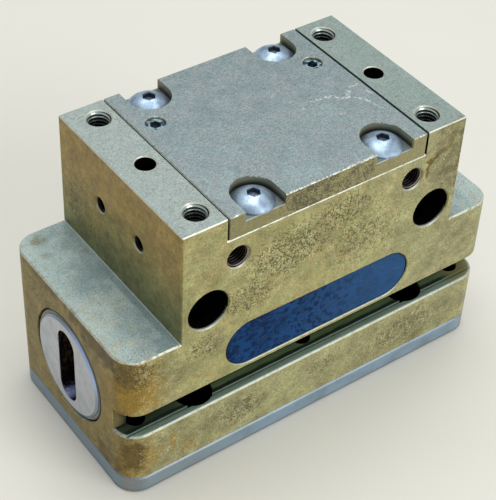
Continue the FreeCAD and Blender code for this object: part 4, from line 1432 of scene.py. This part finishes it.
@dataclass(frozen=True)
class ThreadSet:
    """Tapped holes of one size that face one way, cut as one sleeve for each hole. Sizes in millimetres."""

    name: str
    body: str
    slot: str
    finish: ThreadFinish
    mouths: list[Triple]
    inward: Triple
    radius: float
    pitch: float
    depth: float
    around: int = 56
    rows_per_turn: int = 12
    play: float = 0.01
    wall: float = 0.05
    root_flat: float = 0.125
    crest_flat: float = 0.25
    ridge_share: float = 0.5413
    lead_slope: float = 0.8

    def surface(self) -> tuple[Array, Array, dict[str, Array]]:
        """The sleeves as closed grids over the turn round the axis and the way along it.

        Going in, the radius is the root's less a ridge: a triangle wave of the distance along the axis
        less the turn's share of the pitch, cut flat at crest and root, and kept outside a cone at the mouth
        and at the floor so that the thread runs in and out. Coming back, it is the hole's wall.

        Returns:
            The points, the four corners of each face, and the numbers at each point by name.
        """
        rows = int(self.depth / self.pitch * self.rows_per_turn)
        turn = np.linspace(0.0, 2.0 * np.pi, self.around, endpoint=False)[None, :]
        along = np.linspace(0.0, self.depth, rows)[:, None]
        wave = np.abs(2.0 * np.mod(along / self.pitch - turn / (2.0 * np.pi), 1.0) - 1.0)
        ridge = np.clip((wave - self.root_flat) / (1.0 - self.root_flat - self.crest_flat), 0.0, 1.0)
        height = self.ridge_share * self.pitch - self.wall
        cone = np.minimum(along, self.depth - along)
        lift = np.minimum(height * ridge, self.lead_slope * cone)
        outer = np.full((2, self.around), self.radius - self.play)
        radius = np.concatenate([self.radius - self.wall - lift, outer])
        back = np.repeat([[self.depth], [0.0]], self.around, axis=1)
        distance = np.concatenate([np.broadcast_to(along, lift.shape), back])
        crest = np.concatenate([ridge, np.zeros((2, self.around))])
        axis = np.array(self.inward)
        across = np.roll(axis, 1)
        up = np.cross(axis, across)
        spoke = np.cos(turn)[..., None] * across + np.sin(turn)[..., None] * up
        sleeve = radius[..., None] * spoke + distance[..., None] * axis
        points = (np.array(self.mouths)[:, None, None, :] + sleeve).reshape(-1, 3)
        starts = np.arange(len(self.mouths))[:, None, None] * radius.size
        quads = (torus_faces(*radius.shape) + starts).reshape(-1, 4)
        numbers = {"crest": crest, "inward": distance}
        copies = {name: np.tile(number.ravel(), len(self.mouths)) for name, number in numbers.items()}
        return points, quads, copies

    def build(self) -> bpy.types.Object:
        """Makes the sleeves one piece, dresses it and sets it on its body.

        Returns:
            The piece.
        """
        points, quads, numbers = self.surface()
        piece = mesh_piece(self.name, points, quads, numbers)
        piece.data.materials.append(self.finish.material())
        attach(piece, self.body)
        return piece


def torus_faces(rows: int, columns: int) -> Array:
    """Faces of a grid whose rows and columns both close on themselves.

    Args:
        rows: points the first way.
        columns: points the second way.

    Returns:
        Four point numbers for each face.
    """
    row, column = np.meshgrid(np.arange(rows), np.arange(columns), indexing="ij")
    next_row, next_column = (row + 1) % rows, (column + 1) % columns
    corners = [(row, column), (next_row, column), (next_row, next_column), (row, next_column)]
    return np.stack([i * columns + j for i, j in corners], axis=-1).reshape(-1, 4)


def mesh_piece(name: str, points: Array, faces: Array,
               numbers: dict[str, Array] | None = None) -> bpy.types.Object:
    """Puts a surface into the scene.

    Args:
        name: the piece's name.
        points: its points in millimetres.
        faces: the point numbers of each face.
        numbers: a number at each point, by name.

    Returns:
        The piece, smooth-shaded, at the origin.
    """
    mesh = bpy.data.meshes.new(name)
    mesh.from_pydata(points * MM, [], faces.tolist())
    mesh.polygons.foreach_set("use_smooth", np.ones(len(faces), bool))
    for label, values in (numbers or {}).items():
        layer = mesh.attributes.new(label, "FLOAT", "POINT")
        layer.data.foreach_set("value", np.ascontiguousarray(values, np.float32))
    mesh.update()
    piece = bpy.data.objects.new(name, mesh)
    bpy.context.scene.collection.objects.link(piece)
    return piece


def dress(node: str, material: bpy.types.Material) -> None:
    """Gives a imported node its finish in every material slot.

    Args:
        node: the node's name.
        material: the finish.
    """
    slots = frame["nodes"][node].data.materials
    for number in range(len(slots)):
        slots[number] = material
    LOG.info("dressed %s in %s", node, material.name)


@dataclass
class Block:
    """The housing, its name plate and its cut threads."""

    bracket_pitch: float = 0.7
    port_pitch: float = 0.75
    mount_pitch: float = 1.0
    mount_depth: float = 15.0
    bracket_depth: float = 6.0
    bracket_around: int = 40
    mouth_break: float = 0.3
    port_break: float = 0.35
    seam_gap: float = 0.45
    finish: AnodisedFinish = AnodisedFinish()
    mount_cut: ThreadFinish = ThreadFinish(
        "mounting_thread", (0.48, 0.57, 0.54), (0.006, 0.008, 0.007), (0.3, 2.7)
    )
    port_cut: ThreadFinish = ThreadFinish(
        "port_thread", (0.33, 0.27, 0.25), (0.004, 0.003, 0.003), (0.15, 1.0)
    )
    bracket_cut: ThreadFinish = ThreadFinish(
        "bracket_thread", (0.17, 0.17, 0.11), (0.002, 0.002, 0.002), (0.05, 0.45)
    )

    def shape(self) -> BlockShape:
        """The block's outer sizes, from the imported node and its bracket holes."""
        base_half, half_depth, top = box_mm("housing")[1]
        return BlockShape(base_half, half_depth, top, upper_half=mount("bracket_right")[0][0])

    def dress(self) -> None:
        """Gives the housing and the name plate their finishes."""
        seam = box_mm("cylinder_cover")[1][0] + self.seam_gap
        dress("housing", self.finish.material(self.shape(), seam))
        low, high = box_mm("name_label")
        middle = (low[2] + high[2]) / 2.0
        dress("name_label", LabelFinish().material(high[0], high[2] - middle, middle))

    def mounting_threads(self) -> ThreadSet:
        """The four tapped holes in the top.

        Returns:
            The set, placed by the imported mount.
        """
        place, dims = mount("top_threads")
        half_x, half_y = dims["spacing_x_mm"] / 2.0, dims["spacing_y_mm"] / 2.0
        mouths = [(x, y, place[2] - self.mouth_break) for x in (-half_x, half_x) for y in (-half_y, half_y)]
        return ThreadSet("mounting_threads", "gripper_body", "anodised_block", self.mount_cut, mouths,
                         (0, 0, -1), dims["hole_r_mm"], self.mount_pitch, self.mount_depth - self.mouth_break)

    def air_port_threads(self) -> ThreadSet:
        """The two tapped air ports in the front.

        Returns:
            The set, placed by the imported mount.
        """
        place, dims = mount("air_port_right")
        mouths = [(x, FRONT + self.port_break, place[2]) for x in (-place[0], place[0])]
        return ThreadSet("air_port_threads", "gripper_body", "anodised_block", self.port_cut, mouths,
                         (0, 1, 0), dims["r_mm"], self.port_pitch, dims["length_mm"])

    def bracket_threads(self, side: Side) -> ThreadSet:
        """The two tapped holes in one end of the upper part.

        Args:
            side: which end.

        Returns:
            The set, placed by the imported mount.
        """
        place, dims = mount(f"bracket_{side.word}")
        half = dims["spacing_x_mm"] / 2.0
        mouths = [(place[0] - side.value * self.mouth_break, y, place[2]) for y in (-half, half)]
        return ThreadSet(f"{side.word}_bracket_threads", "gripper_body", "anodised_block", self.bracket_cut,
                         mouths, (-side.value, 0, 0), dims["hole_r_mm"], self.bracket_pitch,
                         self.bracket_depth - self.mouth_break, self.bracket_around)

    def build(self) -> list[bpy.types.Object]:
        """Makes the threads, each in the finish of its hole."""
        ends = [self.bracket_threads(side) for side in Side]
        return [threads.build() for threads in (self.mounting_threads(), self.air_port_threads(), *ends)]


@dataclass
class Cover:
    """The cylinder cover with its four button-head screws and two port plugs.

    Each pair of socket shades is how dark the sockets' facets and their floors are.
    """

    screw_at: Step = (18.4, 21.2)
    screw_socket: float = 1.78
    screw_drop: float = 0.25
    screw_shades: Step = (0.88, 0.5)
    plug_at: Step = (22.9, 11.4)
    plug_socket: float = 1.5
    plug_drop: float = 0.1
    plug_shades: Step = (0.25, 0.9)
    screw: SteelFinish = SteelFinish("screw_steel", (0.47, 0.61, 0.74), (0.30, 0.39, 0.51), 0.47)
    plug: SteelFinish = SteelFinish("plug_steel", (0.62, 0.86, 0.96), (0.06, 0.10, 0.13), 0.17,
                                    clouds=Cloud(1.0, 4.0, shift=(8.0, 4.0, 6.0)))

    def dress(self) -> None:
        """Gives the cover, its screws, its plugs and its seal their finishes."""
        dress("cylinder_cover", CoverFinish().material(*box_mm("cylinder_cover")[1]))
        below = box_mm("cover_screws")[1][2] - self.screw_drop
        sockets = OilMask(*self.screw_at, True, self.screw_socket, below, *self.screw_shades)
        dress("cover_screws", self.screw.material(sockets))
        below = box_mm("port_plugs")[1][2] - self.plug_drop
        sockets = OilMask(*self.plug_at, False, self.plug_socket, below, *self.plug_shades)
        dress("port_plugs", self.plug.material(sockets))
        dress("cover_seal", rubber("cover_seal_rubber").material())


@dataclass
class BasePlate:
    """The bottom plate with its screws and its seal."""

    screw: SteelFinish = SteelFinish("plate_screw_steel", (0.58, 0.60, 0.64), (0.40, 0.42, 0.46), 0.28)

    def dress(self) -> None:
        """Gives the plate, its screws and its seal their finishes."""
        dress("bottom_plate", PlateFinish().material(box_mm("bottom_plate")[1][2]))
        dress("bottom_plate_screws", self.screw.material())
        dress("bottom_seal", rubber("bottom_seal_rubber").material())


@dataclass
class JawEnd:
    """One jaw slide with the rings that guide, seal and wipe it, its magnet and its finger threads."""

    side: Side
    thread_pitch: float = 0.8
    thread_depth: float = 12.0
    mouth_break: float = 0.15

    def dress(self) -> None:
        """Gives every piece of this end its finish."""
        word = self.side.word
        low, high = box_mm(f"{word}_jaw_slide")
        axis_height = (low[2] + high[2]) / 2.0
        face_at = max(abs(low[0]), abs(high[0]))
        dress(f"{word}_jaw_slide", SlideFinish().material(axis_height, high[1], face_at))
        wiper_radius = box_mm(f"{word}_wiper_ring")[1][1]
        dress(f"{word}_wiper_ring", WiperFinish(f"{word}_wiper_rubber").material(axis_height, wiper_radius))
        dress(f"{word}_lip_seal", rubber(f"{word}_seal_rubber").material())
        dress(f"{word}_guide_bush", bronze(f"{word}_bush_bronze").material())
        magnet = SteelFinish(f"{word}_magnet_nickel", (0.66, 0.65, 0.61), (0.5, 0.49, 0.45), 0.2)
        dress(f"{word}_sensor_magnet", magnet.material())

    def build(self) -> list[bpy.types.Object]:
        """Cuts the finger threads in the floor of the slot.

        Returns:
            The one piece that they make.
        """
        word, sign = self.side.word, self.side.value
        place, dims = mount(f"finger_threads_{word}")
        half = dims["spacing_y_mm"] / 2.0
        mouths = [(place[0] - sign * self.mouth_break, 0.0, place[2] + rise) for rise in (-half, half)]
        finish = ThreadFinish(f"{word}_finger_thread", (0.36, 0.35, 0.34), (0.012, 0.010, 0.008), (1.5, 5.0))
        threads = ThreadSet(f"{word}_finger_threads", f"{word}_jaw", "slide_steel", finish, mouths,
                            (-sign, 0, 0), dims["hole_r_mm"], self.thread_pitch,
                            self.thread_depth - self.mouth_break)
        return [threads.build()]


@dataclass
class Drive:
    """Piston, wedge rod and what guides and seals them, out of sight inside the block."""

    turned: SteelFinish = SteelFinish("piston_aluminium", (0.62, 0.62, 0.61), (0.5, 0.5, 0.49), 0.3,
                                      Cloud(0.15, stretch=(1.0, 1.0, 0.2)))
    ground: SteelFinish = SteelFinish("hardened_steel", (0.46, 0.46, 0.47), (0.36, 0.36, 0.37), 0.22,
                                      Cloud(0.2, stretch=(1.0, 5.0, 1.0)))
    bolt: SteelFinish = SteelFinish("piston_bolt_steel", (0.30, 0.30, 0.31), (0.2, 0.2, 0.21), 0.35)
    plastic: SoftFinish = SoftFinish("guide_plastic", (0.24, 0.15, 0.08), (0.30, 0.20, 0.12), 0.5)

    def dress(self) -> None:
        """Gives the drive's pieces their finishes."""
        dress("piston", self.turned.material())
        dress("wedge_rod", self.ground.material())
        dress("piston_bolt", self.bolt.material())
        seals = rubber("seal_rubber").material()
        dress("piston_seal", seals)
        dress("rod_seal", seals)
        dress("rod_bush", bronze("bush_bronze").material())
        dress("piston_guide_ring", self.plastic.material())


@dataclass(frozen=True)
class Softbox:
    """A large plain lamp: where it hangs, how wide it is, its power in watts and its colour."""

    name: str
    place: Triple
    width: float
    power: float
    colour: Triple

    def hang(self, aim: Vector) -> None:
        """Makes the lamp and turns it to a point.

        Args:
            aim: the point.
        """
        lamp = bpy.data.lights.new(self.name, "AREA")
        lamp.shape = "SQUARE"
        lamp.size = self.width
        lamp.energy = self.power
        lamp.color = self.colour
        holder = bpy.data.objects.new(self.name, lamp)
        holder.location = self.place
        holder.rotation_euler = (Vector(self.place) - aim).to_track_quat("Z", "Y").to_euler()
        bpy.context.scene.collection.objects.link(holder)


@dataclass
class Studio:
    """Pale floor, even light and the camera that sees the part as photographed."""

    floor_reach: float = 3.0
    floor_steps: int = 25
    floor_drop: float = 0.05
    floor_colour: Triple = (0.735, 0.715, 0.645)
    floor_roughness: float = 0.8
    floor_clouds: Cloud = Cloud(60.0)
    sky: Triple = (0.95, 0.98, 1.0)
    sky_strength: float = 0.5
    lens: float = 105.02
    sensor: float = 36.0
    nearest: float = 0.01
    azimuth: float = -37.61
    elevation: float = 41.63
    roll: float = 3.03
    place: Triple = (-169.96, -217.02, 279.04)
    lamps: tuple[Softbox, ...] = (
        Softbox("overhead", (0.1, 0.2, 1.6), 1.2, 15.0, (0.98, 1.0, 1.0)),
        Softbox("front_fill", (0.5, -1.5, 0.75), 1.1, 13.5, (1.0, 0.99, 0.97)),
    )

    def floor(self) -> bpy.types.Object:
        """A flat square: its points are even steps along X and along Y, a hair below the part's underside.

        Returns:
            The floor, which is no part of the object.
        """
        steps = np.linspace(-self.floor_reach, self.floor_reach, self.floor_steps) / MM
        east, north = np.meshgrid(steps, steps, indexing="ij")
        points = np.stack([east, north, np.full_like(east, -self.floor_drop)], axis=-1).reshape(-1, 3)
        row, column = np.meshgrid(*[np.arange(self.floor_steps - 1)] * 2, indexing="ij")
        start = row * self.floor_steps + column
        quads = np.stack([start, start + self.floor_steps, start + self.floor_steps + 1, start + 1], axis=-1)
        piece = mesh_piece("studio_floor", points, quads.reshape(-1, 4))
        shader = Shader("studio_floor")
        paper = shader.shade(self.floor_colour, 0.98 + shader.noise(self.floor_clouds) * 0.04)
        piece.data.materials.append(shader.close(Base_Color=paper, Roughness=self.floor_roughness))
        return piece

    def light(self, aim: Vector) -> None:
        """Sets the even sky and hangs the lamps.

        Args:
            aim: the point that the lamps are turned to.
        """
        world = bpy.data.worlds.new("studio_sky")
        world.use_nodes = True
        bpy.context.scene.world = world
        background = world.node_tree.nodes["Background"]
        background.inputs["Color"].default_value = (*self.sky, 1.0)
        background.inputs["Strength"].default_value = self.sky_strength
        for lamp in self.lamps:
            lamp.hang(aim)

    def camera(self) -> None:
        """Stands the camera where the photographer stood, from its three angles and its place."""
        azimuth, elevation, roll = np.radians((self.azimuth, self.elevation, self.roll)).tolist()
        level = math.cos(elevation)
        back = Vector((math.sin(azimuth) * level, -math.cos(azimuth) * level, math.sin(elevation)))
        right = Vector((0.0, 0.0, 1.0)).cross(back).normalized()
        up = back.cross(right)
        across = math.cos(roll) * right + math.sin(roll) * up
        above = math.cos(roll) * up - math.sin(roll) * right
        data = bpy.data.cameras.new("photo_camera")
        data.sensor_fit = "VERTICAL"
        data.sensor_height = self.sensor
        data.lens = self.lens
        data.clip_start = self.nearest
        holder = bpy.data.objects.new("photo_camera", data)
        turned = Matrix((across, above, back)).transposed().to_4x4()
        holder.matrix_world = Matrix.Translation(Vector(self.place) * MM) @ turned
        bpy.context.scene.collection.objects.link(holder)
        bpy.context.scene.camera = holder

    def build(self) -> None:
        """Makes the floor, the light and the camera."""
        low, high = CAD_BOX
        self.floor()
        self.light((low + high) / 2.0)
        self.camera()
        bpy.context.scene.view_settings.view_transform = "Standard"


def main() -> None:
    """Builds and dresses the sub-assemblies in order."""
    logging.basicConfig(level=logging.INFO, format="%(name)s: %(message)s")
    block = Block()
    ends = [JawEnd(side) for side in Side]
    for assembly in (block, Cover(), BasePlate(), Drive(), *ends):
        assembly.dress()
    for assembly in (block, *ends):
        for piece in assembly.build():
            LOG.info("built %s with %d faces", piece.name, len(piece.data.polygons))
    Studio().build()


if __name__ == "__main__":
    main()
